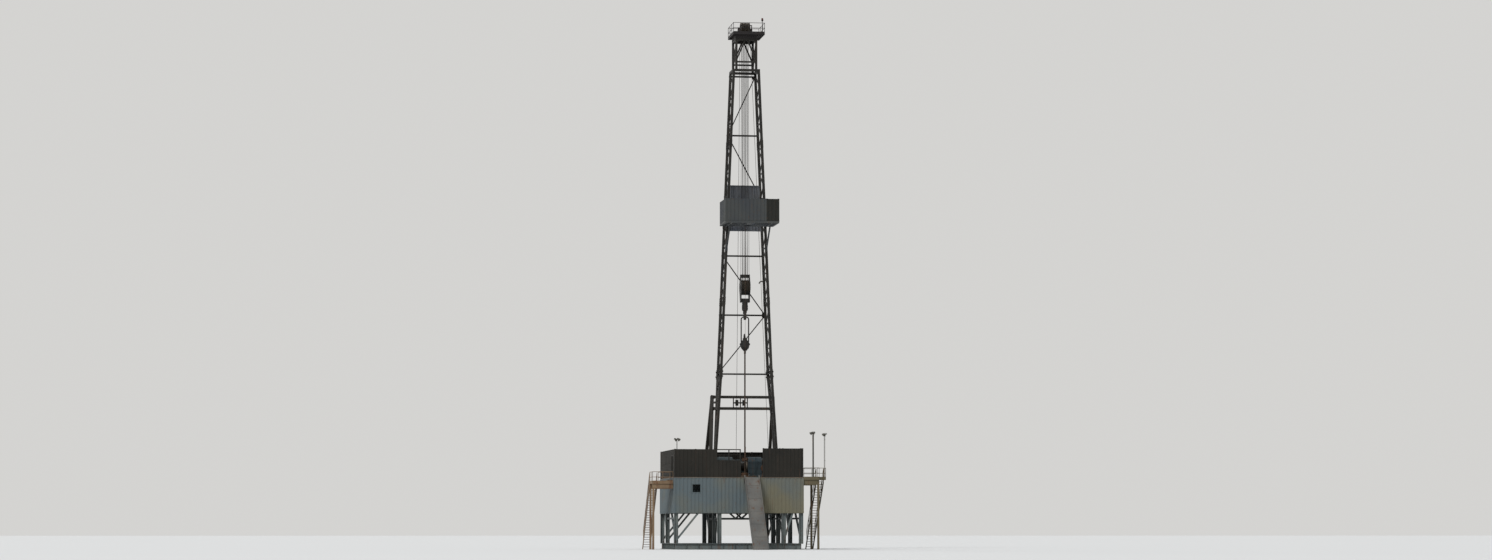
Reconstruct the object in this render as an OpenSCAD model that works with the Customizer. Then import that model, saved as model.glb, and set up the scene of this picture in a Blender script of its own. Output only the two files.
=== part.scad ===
// Land drilling rig with a cantilever mast, as a half-size model in millimetres.
// Origin: well centre at ground level. X to the right seen from the pipe ramp, Y to the rear, Z up.

/* [Substructure] */
// Height of the drill floor above the ground
floor_z = 3600; // [3400:50:3800]
// Thickness of the floor plate
floor_t = 30; // [20:5:40]
// Well centre to the left edge of the floor
floor_left = 3900; // [3700:50:4100]
// Well centre to the right edge of the floor
floor_right = 2600; // [2500:50:2800]
// Well centre to the front edge of the floor
floor_front = 2500; // [2400:50:2700]
// Well centre to the rear edge of the floor
floor_rear = 3600; // [3500:50:3800]
// Depth of the skid beams and floor beams
beam_d = 300; // [260:10:340]
// Width of their flanges, and of the columns
beam_w = 200; // [160:10:220]
// Thickness of their flanges
flange_t = 16; // [12:1:22]
// Thickness of their webs
web_t = 14; // [10:1:20]
// Width of the diagonal braces below the floor
sub_brace_w = 90; // [70:5:110]
// Height of the wall sheets below the floor
clad_h = 1750; // [1500:50:1900]
// Thickness of the wall sheets below the floor
clad_t = 20; // [15:1:30]
// Side of the square inspection opening in the front sheet
clad_hole = 450; // [300:10:500]

/* [Floor walls] */
// Height of the left and rear wind walls
wall_h = 1400; // [1300:20:1500]
// Height of the right wind walls
wall_right_h = 1450; // [1350:10:1500]
// Height of the low front wall beside the pipe door
wall_low_h = 850; // [700:10:950]
// Thickness of a wind wall sheet
wall_t = 20; // [15:1:25]
// Width of the wind wall posts
post_w = 60; // [50:5:70]
// Width of the pipe door
vdoor_w = 1100; // [1000:20:1200]
// Well centre to the end of the tall left front wall
wall_step_x = 1750; // [1500:50:1900]
// Width of a walk-through doorway in a wall
doorway_w = 480; // [440:10:520]
// Height of a walk-through doorway in a wall
doorway_h = 1050; // [1000:10:1080]

/* [Ramp, landings and stairs] */
// Width of the pipe ramp
ramp_w = 760; // [600:20:900]
// Run of the pipe ramp along the ground
ramp_run = 3200; // [2900:50:3500]
// Depth of the pipe ramp's side beams
ramp_d = 160; // [120:10:200]
// Width of the right landing
landing_w = 800; // [700:20:900]
// Drop of the right landing below the floor
landing_drop = 60; // [0:10:100]
// Drop of the left landing below the floor
left_drop = 270; // [200:10:300]
// Width of the left landing
left_landing_w = 1050; // [950:10:1150]
// Width of the stairs
stair_w = 400; // [360:10:460]
// Number of steps in a flight
steps = 26; // [22:1:30]
// Depth of a tread
tread_d = 120; // [100:5:130]
// Height of the hand rails
rail_h = 550; // [500:10:600]
// Thickness of rail pipes
rail_w = 25; // [20:1:30]

/* [Doghouse] */
// Width of the doghouse, left to right
dog_w = 1250; // [1150:10:1300]
// Length of the doghouse, front to rear
dog_l = 3100; // [2900:50:3200]
// Height of the doghouse, skid and roof included
dog_h = 1485; // [1400:5:1550]
// Thickness of the doghouse walls
dog_t = 40; // [30:5:50]
// Well centre to the front wall of the doghouse
dog_front = 1200; // [1150:10:1300]
// Depth of the doghouse skid
dog_skid = 100; // [80:10:120]
// Thickness of the doghouse roof
dog_roof_t = 40; // [30:5:60]
// Height of a window
window_h = 380; // [300:10:420]
// Width of a window
window_w = 560; // [440:10:620]

/* [Mast] */
// Floor to the underside of the mast legs
foot_rise = 150; // [120:10:180]
// Half width between the leg centres at the foot
foot_half = 1625; // [1580:5:1660]
// Floor to the change of taper above the drawworks window
knee_rise = 5265; // [5100:5:5400]
// Half width between the leg centres at the change of taper
knee_half = 1290; // [1260:5:1320]
// Floor to the base of the straight crown section
crown_base_rise = 20770; // [20500:10:21000]
// Half width between the leg centres at the crown section's base
top_half = 640; // [620:5:660]
// Half width between the post centres of the crown section
crown_half = 510; // [490:5:530]
// Height of the crown section
crown_sec_h = 1620; // [1500:10:1700]
// Well centre to the front chords
mast_front = 500; // [490:5:520]
// Well centre to the rear chords
mast_rear = 750; // [740:5:790]
// Width of a mast chord
chord_w = 125; // [110:5:130]
// Width of the lacing bars in the mast legs
lace_w = 55; // [40:5:65]
// Number of lacing bars in an upper leg
laces_up = 24; // [20:2:28]
// Number of lacing bars in a lower leg
laces_low = 7; // [5:1:8]
// Depth of the cross girts on the mast's back
girt_w = 80; // [60:5:95]
// Width of the long diagonals on the mast's back
diag_w = 50; // [40:5:60]

/* [A-frame] */
// Floor to the lower head beam of the A-frame
aframe_rise = 3555; // [3400:5:3600]
// Distance between its two head beams
head_gap = 585; // [560:5:620]
// Width of the A-frame legs
aframe_w = 150; // [130:5:160]
// Half width between the legs at the floor
aframe_foot = 1690; // [1660:5:1720]
// Half width between the legs at the head
aframe_head = 1560; // [1540:5:1580]

/* [Racking board] */
// Floor to the top of the racking board
board_rise = 12850; // [12500:50:13100]
// Half width of the racking board
board_half = 1367; // [1300:1:1400]
// Well centre to the front of the racking board
board_front = 2700; // [2500:50:2800]
// Width of the board's frame beams
board_beam = 100; // [80:5:120]
// Height of the basket walls
basket_h = 1125; // [1000:25:1200]
// Height of the tall wall behind the block
tall_wall_h = 2360; // [2200:20:2500]
// Number of fingers on each side
fingers = 8; // [6:1:9]
// Width of a finger
finger_w = 60; // [40:5:70]

/* [Hoisting gear] */
// Outside diameter of the sheaves
sheave_d = 762; // [740:2:770]
// Distance between sheaves
sheave_pitch = 80; // [76:1:84]
// Width of a sheave rim
rim_w = 60; // [50:1:64]
// Number of sheaves in the travelling block
block_n = 5; // [4:1:5]
// Diameter of the wire line
line_d = 18; // [14:1:20]
// Diameter of the sheave pins
axle_d = 120; // [100:5:130]
// Crown beams to the centre of the crown sheaves
crown_axle_rise = 300; // [280:5:320]
// Depth of the crown beams
crown_beam = 210; // [180:10:220]
// Thickness of the block's side plates
cheek_t = 30; // [20:2:36]
// Pin of the block to the underside of its hook
hook_drop = 1580; // [1500:10:1650]
// Diameter of the bar of the swivel bail
bail_d = 64; // [56:2:70]
// Half width of the bail
bail_half = 190; // [180:5:200]
// Height of the bail's inside above the swivel housing
bail_rise = 1120; // [1050:10:1200]
// Diameter of the swivel housing
swivel_d = 440; // [400:10:460]
// Height of the swivel housing
swivel_h = 600; // [560:10:640]
// Kelly, across its flats
kelly_af = 67; // [60:1:72]
// Length of the kelly's hexagon
kelly_len = 6320; // [6000:20:6500]

/* [Rotary and drawworks] */
// Bore of the rotary table
rotary_bore = 350; // [330:5:380]
// Outside diameter of the turntable
table_d = 600; // [560:10:640]
// Width of the rotary housing, left to right
rotary_w = 1100; // [1060:10:1200]
// Length of the rotary housing, front to rear
rotary_l = 860; // [820:10:900]
// Height of the rotary housing above the floor
rotary_rise = 100; // [80:5:120]
// Clearance round the kelly in its bushing
kelly_gap = 2.5; // [2:0.5:4]
// Running clearance round turning pieces
run_gap = 6; // [5:0.5:8]
// Width of the drawworks
dw_w = 2200; // [2000:20:2300]
// Length of the drawworks, front to rear
dw_l = 1500; // [1400:20:1600]
// Height of the drawworks
dw_h = 1100; // [1000:10:1150]
// Well centre to the drawworks
dw_front = 1620; // [1580:10:1700]
// Barrel diameter of the drum
drum_d = 400; // [360:10:440]
// Flange diameter of the drum
drum_flange_d = 700; // [660:10:740]
// Length of the drum
drum_l = 760; // [700:10:800]

/* [Hidden] */
$fn = 48;
seat = 0.3;

// Grid lines of the skid, the columns and the floor
edge = beam_w / 2;
sub_x = [-(floor_left - edge), -foot_half, foot_half, floor_right - edge];
sub_y = [-(floor_front - edge), -mast_front, 1200, floor_rear - edge];
skid_y = [sub_y[0], sub_y[2], sub_y[3]];
rotary_beam_x = 480;
deck_x = [sub_x[0], (sub_x[0] + sub_x[1]) / 2, sub_x[1], -rotary_beam_x, rotary_beam_x, sub_x[2], sub_x[3]];
deck_y = [sub_y[0], (sub_y[0] - mast_front) / 2, -mast_front, 600, 2000, sub_y[3]];
deck_top = floor_z - floor_t;
deck_low = deck_top - beam_d;

// Heights of the mast
foot_z = floor_z + foot_rise;
knee_z = floor_z + knee_rise;
crown_base_z = floor_z + crown_base_rise;
crown_z = crown_base_z + crown_sec_h;
crown_top_z = crown_z + crown_beam;
crown_axle_z = crown_top_z + crown_axle_rise;
board_z = floor_z + board_rise;
girts_low = [knee_z + girt_w / 2 + 5, floor_z + 8325, floor_z + 11360];
girts_up = [board_z - 60, floor_z + 14400, floor_z + 17560, crown_base_z - 160];
chord_r = chord_w / 2;
ring_h = 120;
mast_tilt = atan((knee_half - top_half) / (crown_base_z - knee_z));

// Travelling gear
sheave_r = sheave_d / 2;
groove = 26;
line_r = sheave_r - groove + line_d / 2;
crown_n = block_n + 1;
crown_x = [for (i = [0:crown_n - 1]) (i - (crown_n - 1) / 2) * sheave_pitch];
block_x = [for (i = [0:block_n - 1]) (i - (block_n - 1) / 2) * sheave_pitch];
pedestal_x = crown_n * sheave_pitch / 2 + 65;
cheek_x = block_n * sheave_pitch / 2 + 5;
rotary_top = floor_z + rotary_rise;
kelly_neck = 150;
kelly_low = floor_z - 12 - seat;
kelly_top = kelly_low + kelly_len;
swivel_low = kelly_top + kelly_neck;
swivel_top = swivel_low + swivel_h;
bail_z = swivel_top + bail_rise;
block_z = bail_z + bail_d / 2 + seat + hook_drop - 90;
stem_h = 180;
pin_gap = 0.3;
hook_t = 120;
hook_r = 150;
bail_bend = bail_half - hook_t / 2 - 5;

// Half width between the mast's chord centres at a height
function mast_half(z) = z < knee_z
    ? foot_half + (knee_half - foot_half) * (z - foot_z) / (knee_z - foot_z)
    : knee_half + (top_half - knee_half) * (z - knee_z) / (crown_base_z - knee_z);
// Place of the rear chord, which runs forward to the foot below the change of taper
function rear_y(z) = z < knee_z
    ? -mast_front + chord_w + (mast_rear + mast_front - chord_w) * (z - foot_z) / (knee_z - foot_z)
    : mast_rear;
function front_pt(s, z) = [s * mast_half(z), -mast_front, z];
function rear_pt(s, z) = [s * mast_half(z), rear_y(z), z];

// Straight square bar between two points
module bar(a, b, w) {
    v = b - a;
    translate(a)
        rotate([0, acos(v[2] / norm(v)), atan2(v[1], v[0])])
            translate([-w / 2, -w / 2, 0])
                cube([w, w, norm(v)]);
}

// Straight round bar between two points
module rod(a, b, d) {
    v = b - a;
    translate(a)
        rotate([0, acos(v[2] / norm(v)), atan2(v[1], v[0])])
            cylinder(d = d, h = norm(v));
}

// Block given by its lowest and highest corners
module block(low, high) {
    translate(low) cube(high - low);
}

// Profile drawn in Y and Z, made solid to the right from x
module side_profile(x, t) {
    translate([x, 0, 0]) rotate([90, 0, 90]) linear_extrude(t) children();
}

// Profile drawn in X and Z, made solid to the rear from y
module front_profile(y, t) {
    translate([0, y + t, 0]) rotate([90, 0, 0]) linear_extrude(t) children();
}

// Flat grid: a rectangle less the bays between its lines
module grid_plan(xs, ys, w) {
    nx = len(xs) - 1;
    ny = len(ys) - 1;
    difference() {
        translate([xs[0] - w / 2, ys[0] - w / 2])
            square([xs[nx] - xs[0] + w, ys[ny] - ys[0] + w]);
        for (i = [0:nx - 1], j = [0:ny - 1])
            translate([xs[i] + w / 2, ys[j] + w / 2])
                square([xs[i + 1] - xs[i] - w, ys[j + 1] - ys[j] - w]);
    }
}

// Grid of I-beams standing on z
module beam_grid(xs, ys, z) {
    translate([0, 0, z]) {
        linear_extrude(flange_t) grid_plan(xs, ys, beam_w);
        translate([0, 0, flange_t]) linear_extrude(beam_d - 2 * flange_t) grid_plan(xs, ys, web_t);
        translate([0, 0, beam_d - flange_t]) linear_extrude(flange_t) grid_plan(xs, ys, beam_w);
    }
}

module base_frame() {
    color("#5d6668") beam_grid(sub_x, skid_y, 0);
}

// Wide-flange column from the skid to the floor beams, with its web across the rig
module column(x, y) {
    translate([x, y, beam_d])
        linear_extrude(deck_low - beam_d) {
            square([beam_w - flange_t, web_t], center = true);
            for (s = [-1, 1])
                translate([s * (beam_w - flange_t) / 2, 0]) square([flange_t, beam_w], center = true);
        }
}

// Columns and braces between two of the skid's long beams
module sub_box(x0, x1) {
    color("#5d6668") {
        for (x = [x0, x1], y = sub_y)
            if (y != sub_y[1] || abs(x) == foot_half)
                column(x, y);
        low = beam_d + 150;
        high = deck_low - 150;
        for (x = [x0, x1]) {
            bar([x, sub_y[0], low], [x, sub_y[2], high], sub_brace_w);
            bar([x, sub_y[2], low], [x, sub_y[3], high], sub_brace_w);
            bar([x, sub_y[0], beam_d + 1250], [x, sub_y[2], beam_d + 1250], sub_brace_w);
        }
        for (y = [sub_y[0], sub_y[2], sub_y[3]])
            bar([x0, y, low], [x1, y, high], sub_brace_w);
    }
}

module sub_left() { sub_box(sub_x[0], sub_x[1]); }
module sub_right() { sub_box(sub_x[2], sub_x[3]); }

// Struts across the well bay, behind the well and under the pipe door
module sub_bracing() {
    inner = foot_half - beam_w / 2;
    half = sub_brace_w / 2;
    strut_z = 0.43 * floor_z;
    color("#5d6668") {
        for (y = [sub_y[2], sub_y[3]]) {
            block([-inner, y - half, strut_z - half], [inner, y + half, strut_z + half]);
            for (s = [-1, 1])
                difference() {
                    bar([s * foot_half, y, deck_low - 200], [0, y, strut_z + 12], sub_brace_w - 4);
                    block([s * foot_half - beam_w / 2, y - beam_w, 0],
                          [s * foot_half + beam_w / 2, y + beam_w, deck_low]);
                }
        }
        block([-inner, sub_y[0] - half, deck_low - 400],
              [inner, sub_y[0] + half, deck_low - 400 + sub_brace_w]);
    }
}

module floor_beams() {
    color("#5d6668") beam_grid(deck_x, deck_y, deck_low);
}

module drill_floor() {
    color("#5a4a40")
        difference() {
            block([-floor_left, -floor_front, deck_top], [floor_right, floor_rear, floor_z]);
            block([-rotary_w / 2, -rotary_l / 2, deck_top - 1], [rotary_w / 2, rotary_l / 2, floor_z + 1]);
        }
}

// Pale sheets on the outside of the columns
module cladding() {
    z0 = deck_top - clad_h;
    color("#8f9a99") {
        front_profile(-floor_front - clad_t, clad_t)
            difference() {
                translate([-floor_left, z0]) square([floor_left + floor_right, clad_h]);
                translate([-2790 - clad_hole / 2, 2820]) square([clad_hole, clad_hole]);
                translate([-ramp_w / 2 - 20, deck_top - 300]) square([ramp_w + 40, 301]);
            }
        front_profile(floor_rear, clad_t)
            difference() {
                translate([-floor_left, z0]) square([floor_left + floor_right, clad_h]);
                for (x = dog_beam_x)
                    translate([x - 10, floor_z - dog_beam_d - 10]) square([dog_beam_w + 20, dog_beam_d]);
            }
        side_profile(-floor_left - clad_t, clad_t)
            translate([-floor_front, z0]) square([floor_front + floor_rear, clad_h]);
        side_profile(floor_right, clad_t)
            translate([-floor_front, z0]) square([floor_front + dog_front - 100, clad_h]);
    }
}

// Sheet with posts on its inner side and a rail on top, along X from 0 to l
module wind_wall(l, h, doors = []) {
    difference() {
        union() {
            cube([l, wall_t, h]);
            n = max(1, round(l / 1000));
            for (i = [0:n])
                translate([i * (l - post_w) / n, wall_t, 0]) cube([post_w, post_w, h]);
            translate([0, wall_t, h - post_w]) cube([l, post_w, post_w]);
        }
        for (x = doors)
            translate([x, -1, -1]) cube([doorway_w, wall_t + post_w + 2, doorway_h + 1]);
    }
}

module windwall_front() {
    left_l = floor_left - wall_step_x;
    low_l = wall_step_x - vdoor_w / 2;
    color("#37352f") {
        translate([-floor_left, -floor_front, floor_z]) wind_wall(left_l, wall_h);
        translate([-wall_step_x, -floor_front, floor_z]) wind_wall(low_l, wall_low_h);
        for (x = [-wall_step_x + low_l / 2, -vdoor_w / 2 - post_w / 2])
            block([x - rail_w, -floor_front + wall_t, floor_z + wall_low_h - 1],
                  [x + rail_w, -floor_front + wall_t + 2 * rail_w, floor_z + wall_h]);
        block([-wall_step_x - 1, -floor_front + wall_t, floor_z + wall_h - 2 * rail_w],
              [-vdoor_w / 2, -floor_front + wall_t + 2 * rail_w, floor_z + wall_h]);
        translate([vdoor_w / 2, -floor_front, floor_z])
            wind_wall(floor_right - vdoor_w / 2, wall_right_h);
    }
}

module windwall_left() {
    y0 = -floor_front + wall_t + post_w + 5;
    l = floor_rear - wall_t - post_w - 5 - y0;
    color("#37352f")
        translate([-floor_left, y0 + l, floor_z])
            rotate([0, 0, -90]) wind_wall(l, wall_h, [l - 1100]);
}

module windwall_right() {
    y0 = -floor_front + wall_t + post_w + 5;
    color("#2f2f2a")
        translate([floor_right, y0, floor_z])
            rotate([0, 0, 90]) wind_wall(dog_front - dog_eave - 5 - y0, wall_right_h, [650]);
}

module windwall_back() {
    color("#37352f")
        translate([1850, floor_rear, floor_z])
            rotate([0, 0, 180]) wind_wall(1850 + floor_left, wall_h);
}

// Hand rail along a list of points on a deck: posts, top rail and knee rail
module hand_rail(pts) {
    for (i = [0:len(pts) - 2]) {
        a = pts[i];
        b = pts[i + 1];
        n = max(1, round(norm(b - a) / 650));
        for (k = [0:n]) {
            p = a + (b - a) * k / n;
            block(p - [rail_w / 2, rail_w / 2, 0], p + [rail_w / 2, rail_w / 2, rail_h]);
        }
        for (h = [rail_h / 2, rail_h - rail_w / 2])
            bar(a + [0, 0, h], b + [0, 0, h], rail_w);
    }
}

right_y0 = -floor_front;
right_y1 = -200;
right_z = floor_z - landing_drop;
right_x0 = floor_right + clad_t;
right_x1 = right_x0 + landing_w;
stair_y = -1300;

module landing_right() {
    x2 = right_x1 + stair_w + 30;
    color("#56523e") {
        block([right_x0, right_y0, right_z - 25], [right_x1, right_y1, right_z]);
        block([right_x1 - 1, stair_y - 600, right_z - 25], [x2, stair_y, right_z]);
        for (y = [right_y0, (right_y0 + right_y1) / 2 - 60, right_y1 - 120])
            block([right_x0, y, right_z - 315], [right_x1, y + 120, right_z - 24]);
        block([right_x1 - 100, right_y0, right_z - 200], [right_x1, right_y1, right_z - 24]);
        for (y = [right_y0 + 60, right_y1 - 60])
            block([right_x1 - 100, y - 50, 0], [right_x1, y + 50, right_z - 24]);
        r = rail_w / 2;
        hand_rail([[right_x0 + r, right_y0 + r, right_z], [right_x1 - r, right_y0 + r, right_z],
                   [right_x1 - r, stair_y - 600, right_z]]);
        hand_rail([[right_x1 - r, stair_y - 600 + r, right_z], [x2 - r, stair_y - 600 + r, right_z],
                   [x2 - r, stair_y - r, right_z]]);
        hand_rail([[right_x1 - r, stair_y + 60, right_z], [right_x1 - r, right_y1 - r, right_z],
                   [right_x0 + r, right_y1 - r, right_z]]);
    }
}

// Flight from its top edge at y, z down to the ground toward the rear, as wide as the stairs
module flight(x, y, z) {
    rise = z / (steps + 1);
    slope = 1.0;
    run = z * slope;
    t = 30;
    for (sx = [x, x + stair_w - t])
        side_profile(sx, t)
            polygon([[y, z], [y, z - 220], [y + run - 220 * slope, 0], [y + run, 0]]);
    for (i = [1:steps])
        block([x + t - 1, y + i * rise * slope - tread_d, z - i * rise - 20],
              [x + stair_w - t + 1, y + i * rise * slope, z - i * rise]);
    post = rail_w * 0.8;
    for (sx = [x + t / 2, x + stair_w - t / 2]) {
        for (k = [0:5]) {
            d = 60 + k * (run - 500) / 5;
            block([sx - post / 2, y + d - post / 2, z - d / slope - 60],
                  [sx + post / 2, y + d + post / 2, z - d / slope + rail_h]);
        }
        for (h = [rail_h / 2, rail_h])
            bar([sx, y + 40, z - 40 + h], [sx, y + run - 420, z - run + 420 + h], rail_w);
    }
}

module stair_right() {
    color("#56523e") flight(right_x1 + 20, stair_y, right_z);
}

left_z = floor_z - left_drop;
left_x1 = -floor_left - clad_t;
left_x0 = left_x1 - left_landing_w;
left_y0 = -2250;
left_y1 = -900;

module landing_left() {
    color("#69553f") {
        block([left_x0, left_y0, left_z - 25], [left_x1, left_y1, left_z]);
        for (y = [left_y0, left_y1 - 110])
            block([left_x0, y, left_z - 300], [left_x1, y + 110, left_z - 24]);
        block([left_x1 - 250, -1900, left_z - 1], [left_x1, -1250, left_z + left_drop / 2]);
        for (y = [left_y0 + 55, left_y1 - 55])
            block([left_x0, y - 55, 0], [left_x0 + 110, y + 55, left_z - 24]);
        r = rail_w / 2;
        hand_rail([[left_x1 - r, left_y0 + r, left_z], [left_x0 + r, left_y0 + r, left_z],
                   [left_x0 + r, left_y1 - 60, left_z]]);
        hand_rail([[left_x0 + stair_w + 40, left_y1 - r, left_z], [left_x1 - r, left_y1 - r, left_z]]);
    }
}

module stair_left() {
    color("#69553f") flight(left_x0, left_y1, left_z);
}

// Sloping pipe slide from the pipe door to the ground
module vdoor_ramp() {
    y0 = -floor_front;
    y1 = y0 - ramp_run;
    color("#7d8283") {
        side_profile(-ramp_w / 2, ramp_w)
            polygon([[y0, floor_z], [y0, floor_z - 40], [y1 + 30, 0], [y1 - 60, 0], [y1 - 60, 60]]);
        for (x = [-ramp_w / 2, -40, ramp_w / 2 - 80])
            side_profile(x, 80)
                polygon([[y0, floor_z - 20], [y0, floor_z - 20 - ramp_d], [y1 + ramp_d, 0], [y1, 0]]);
        for (x = [-ramp_w / 2, ramp_w / 2 - 40])
            side_profile(x, 40)
                polygon([[y0, floor_z], [y0 - 20, floor_z + 110], [y1 - 40, 110], [y1 - 60, 0], [y1, 0]]);
    }
}

dog_x0 = floor_right + 550 - dog_w;
dog_x1 = dog_x0 + dog_w;
dog_y1 = dog_front + dog_l;
dog_z0 = floor_z + dog_skid;
dog_z1 = floor_z + dog_h - dog_roof_t;
dog_eave = 30;
dog_beam_d = 150;
dog_beam_w = 100;
dog_beam_x = [dog_x0 + 100, floor_right - 2 * dog_beam_w];

// Skid of the doghouse with the brackets that carry its overhang
module doghouse_floor() {
    color("#3a3a36") {
        block([dog_x0, dog_front, floor_z], [dog_x1, dog_y1, dog_z0]);
        for (y = [dog_front + 60, (dog_front + floor_rear) / 2, floor_rear - 160]) {
            block([floor_right, y, floor_z - dog_beam_d], [dog_x1, y + dog_beam_w, floor_z + 1]);
            side = [floor_right, y + 50, 0];
            difference() {
                bar(side + [-20, 0, deck_low - 350], side + [480, 0, floor_z - 120], 80);
                block([floor_right - 400, y - 50, 0], [floor_right, y + 150, floor_z]);
            }
        }
        for (x = dog_beam_x)
            block([x, floor_rear, floor_z - dog_beam_d], [x + dog_beam_w, dog_y1, floor_z + 1]);
    }
}

// Places of the doghouse windows and door along its walls
dog_win_y = [dog_front + 1150, dog_front + 2200];
dog_door_y = dog_front + 300;
dog_sill = dog_z0 + 600;
dog_end_x = dog_x0 + (dog_w - window_w) / 2;

module doghouse_walls() {
    color("#2f2f2a")
        difference() {
            block([dog_x0, dog_front, dog_z0], [dog_x1, dog_y1, dog_z1]);
            block([dog_x0 + dog_t, dog_front + dog_t, dog_z0 - 1],
                  [dog_x1 - dog_t, dog_y1 - dog_t, dog_z1 + 1]);
            for (y = dog_win_y)
                block([dog_x0 - 1, y, dog_sill], [dog_x1 + 1, y + window_w, dog_sill + window_h]);
            for (y = [dog_front - 1, dog_y1 - dog_t - 1])
                block([dog_end_x, y, dog_sill], [dog_end_x + window_w, y + dog_t + 2, dog_sill + window_h]);
            block([dog_x0 - 1, dog_door_y, dog_z0 - 1],
                  [dog_x0 + dog_t + 1, dog_door_y + doorway_w, dog_z0 + doorway_h]);
        }
}

module doghouse_roof() {
    color("#3a3a36") {
        block([dog_x0 - dog_eave, dog_front - dog_eave, dog_z1],
              [dog_x1 + dog_eave, dog_y1 + dog_eave, dog_z1 + dog_roof_t]);
    }
}

// Steel door leaf with its frame bead, standing shut in the doorway
module doghouse_door() {
    color("#6a6d66")
        block([dog_x0 + 5, dog_door_y, dog_z0], [dog_x0 + 30, dog_door_y + doorway_w, dog_z0 + doorway_h]);
}

module doghouse_glass() {
    color("#9db0b8") {
        for (y = dog_win_y, x = [dog_x0 + 15, dog_x1 - 25])
            block([x, y, dog_sill], [x + 10, y + window_w, dog_sill + window_h]);
        for (y = [dog_front + 15, dog_y1 - 25])
            block([dog_end_x, y, dog_sill], [dog_end_x + window_w, y + 10, dog_sill + window_h]);
    }
}

// Both chords of one lower leg, from the foot to the change of taper
module lower_chords(s) {
    bar(front_pt(s, foot_z - 60), front_pt(s, knee_z + 60), chord_w);
    bar(rear_pt(s, foot_z - 60), rear_pt(s, knee_z + 60), chord_w);
}

module leg_lower(s) {
    z0 = foot_z + 700;
    step = (knee_z - 60 - z0) / laces_low;
    color("#32312d")
        intersection() {
            union() {
                lower_chords(s);
                for (i = [0:laces_low - 1]) {
                    za = z0 + i * step;
                    zb = za + step;
                    bar(i % 2 == 0 ? rear_pt(s, za) : front_pt(s, za),
                        i % 2 == 0 ? front_pt(s, zb) : rear_pt(s, zb), lace_w);
                    bar(front_pt(s, za), rear_pt(s, za), lace_w);
                }
            }
            block([s * 1500 - 500, -1000, foot_z], [s * 1500 + 500, 1200, knee_z]);
        }
}

module leg_upper(s) {
    z0 = knee_z + 60;
    top = crown_base_z - ring_h / 2;
    step = (top - 80 - z0) / laces_up;
    color("#32312d")
        intersection() {
            union() {
                bar(front_pt(s, knee_z), front_pt(s, crown_base_z), chord_w);
                bar(rear_pt(s, knee_z), rear_pt(s, crown_base_z), chord_w);
                for (i = [0:laces_up - 1]) {
                    za = z0 + i * step;
                    bar(i % 2 == 0 ? rear_pt(s, za) : front_pt(s, za),
                        i % 2 == 0 ? front_pt(s, za + step) : rear_pt(s, za + step), lace_w);
                    if (i % 2 == 0)
                        bar(front_pt(s, za), rear_pt(s, za), lace_w);
                }
            }
            block([s * 1000 - 700, -1000, knee_z], [s * 1000 + 700, 1200, top]);
        }
}

module leg_left_lower() { leg_lower(-1); }
module leg_right_lower() { leg_lower(1); }
module leg_left_upper() { leg_upper(-1); }
module leg_right_upper() { leg_upper(1); }

// Pedestals with two lugs and the foot pin of each mast leg
module mast_shoes() {
    color("#3d3b36")
        for (s = [-1, 1])
            difference() {
                union() {
                    block([s * foot_half - 170, -mast_front - 160, floor_z],
                          [s * foot_half + 170, -mast_front + 330, foot_z]);
                    for (d = [-125, 95])
                        block([s * foot_half + d, -mast_front - 80, foot_z - 1],
                              [s * foot_half + d + 30, -mast_front + 200, foot_z + 260]);
                    translate([s * foot_half - 140, -mast_front + 60, foot_z + 150])
                        rotate([0, 90, 0]) cylinder(d = 90, h = 280);
                }
                intersection() {
                    lower_chords(s);
                    block([s * foot_half - 400, -1000, foot_z], [s * foot_half + 400, 500, foot_z + 900]);
                }
            }
}

// Girts and single diagonals that close the mast's back, bolted behind the rear chords
module back_frame(zs, first) {
    y = mast_rear + chord_r + girt_w / 2;
    for (z = zs)
        block([-mast_half(z) - chord_r, y - girt_w / 2, z - girt_w / 2],
              [mast_half(z) + chord_r, y + girt_w / 2, z + girt_w / 2]);
    for (i = [0:len(zs) - 2]) {
        s = i % 2 == 0 ? first : -first;
        bar([s * mast_half(zs[i]), y, zs[i]], [-s * mast_half(zs[i + 1]), y, zs[i + 1]], diag_w);
    }
}

module bracing_lower() {
    color("#32312d") back_frame(girts_low, -1);
}

module bracing_upper() {
    color("#32312d") back_frame(girts_up, -1);
}

head_y = 950;
aframe_z = floor_z + aframe_rise;

// Rope wheel on the X axis: hub, web and a rim with one groove
module rope_wheel(r, w, groove) {
    half = [[0.4 * r, w / 2], [0.42 * r, w / 6], [r - groove - 16, w / 6], [r - groove, w / 2], [r, w / 2],
            [r - groove, line_d / 2]];
    rotate([0, 90, 0])
        rotate_extrude($fn = 96)
            polygon(concat([[0, w / 2]], half, [for (i = [5:-1:0]) [half[i][0], -half[i][1]]], [[0, -w / 2]]));
}

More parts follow.
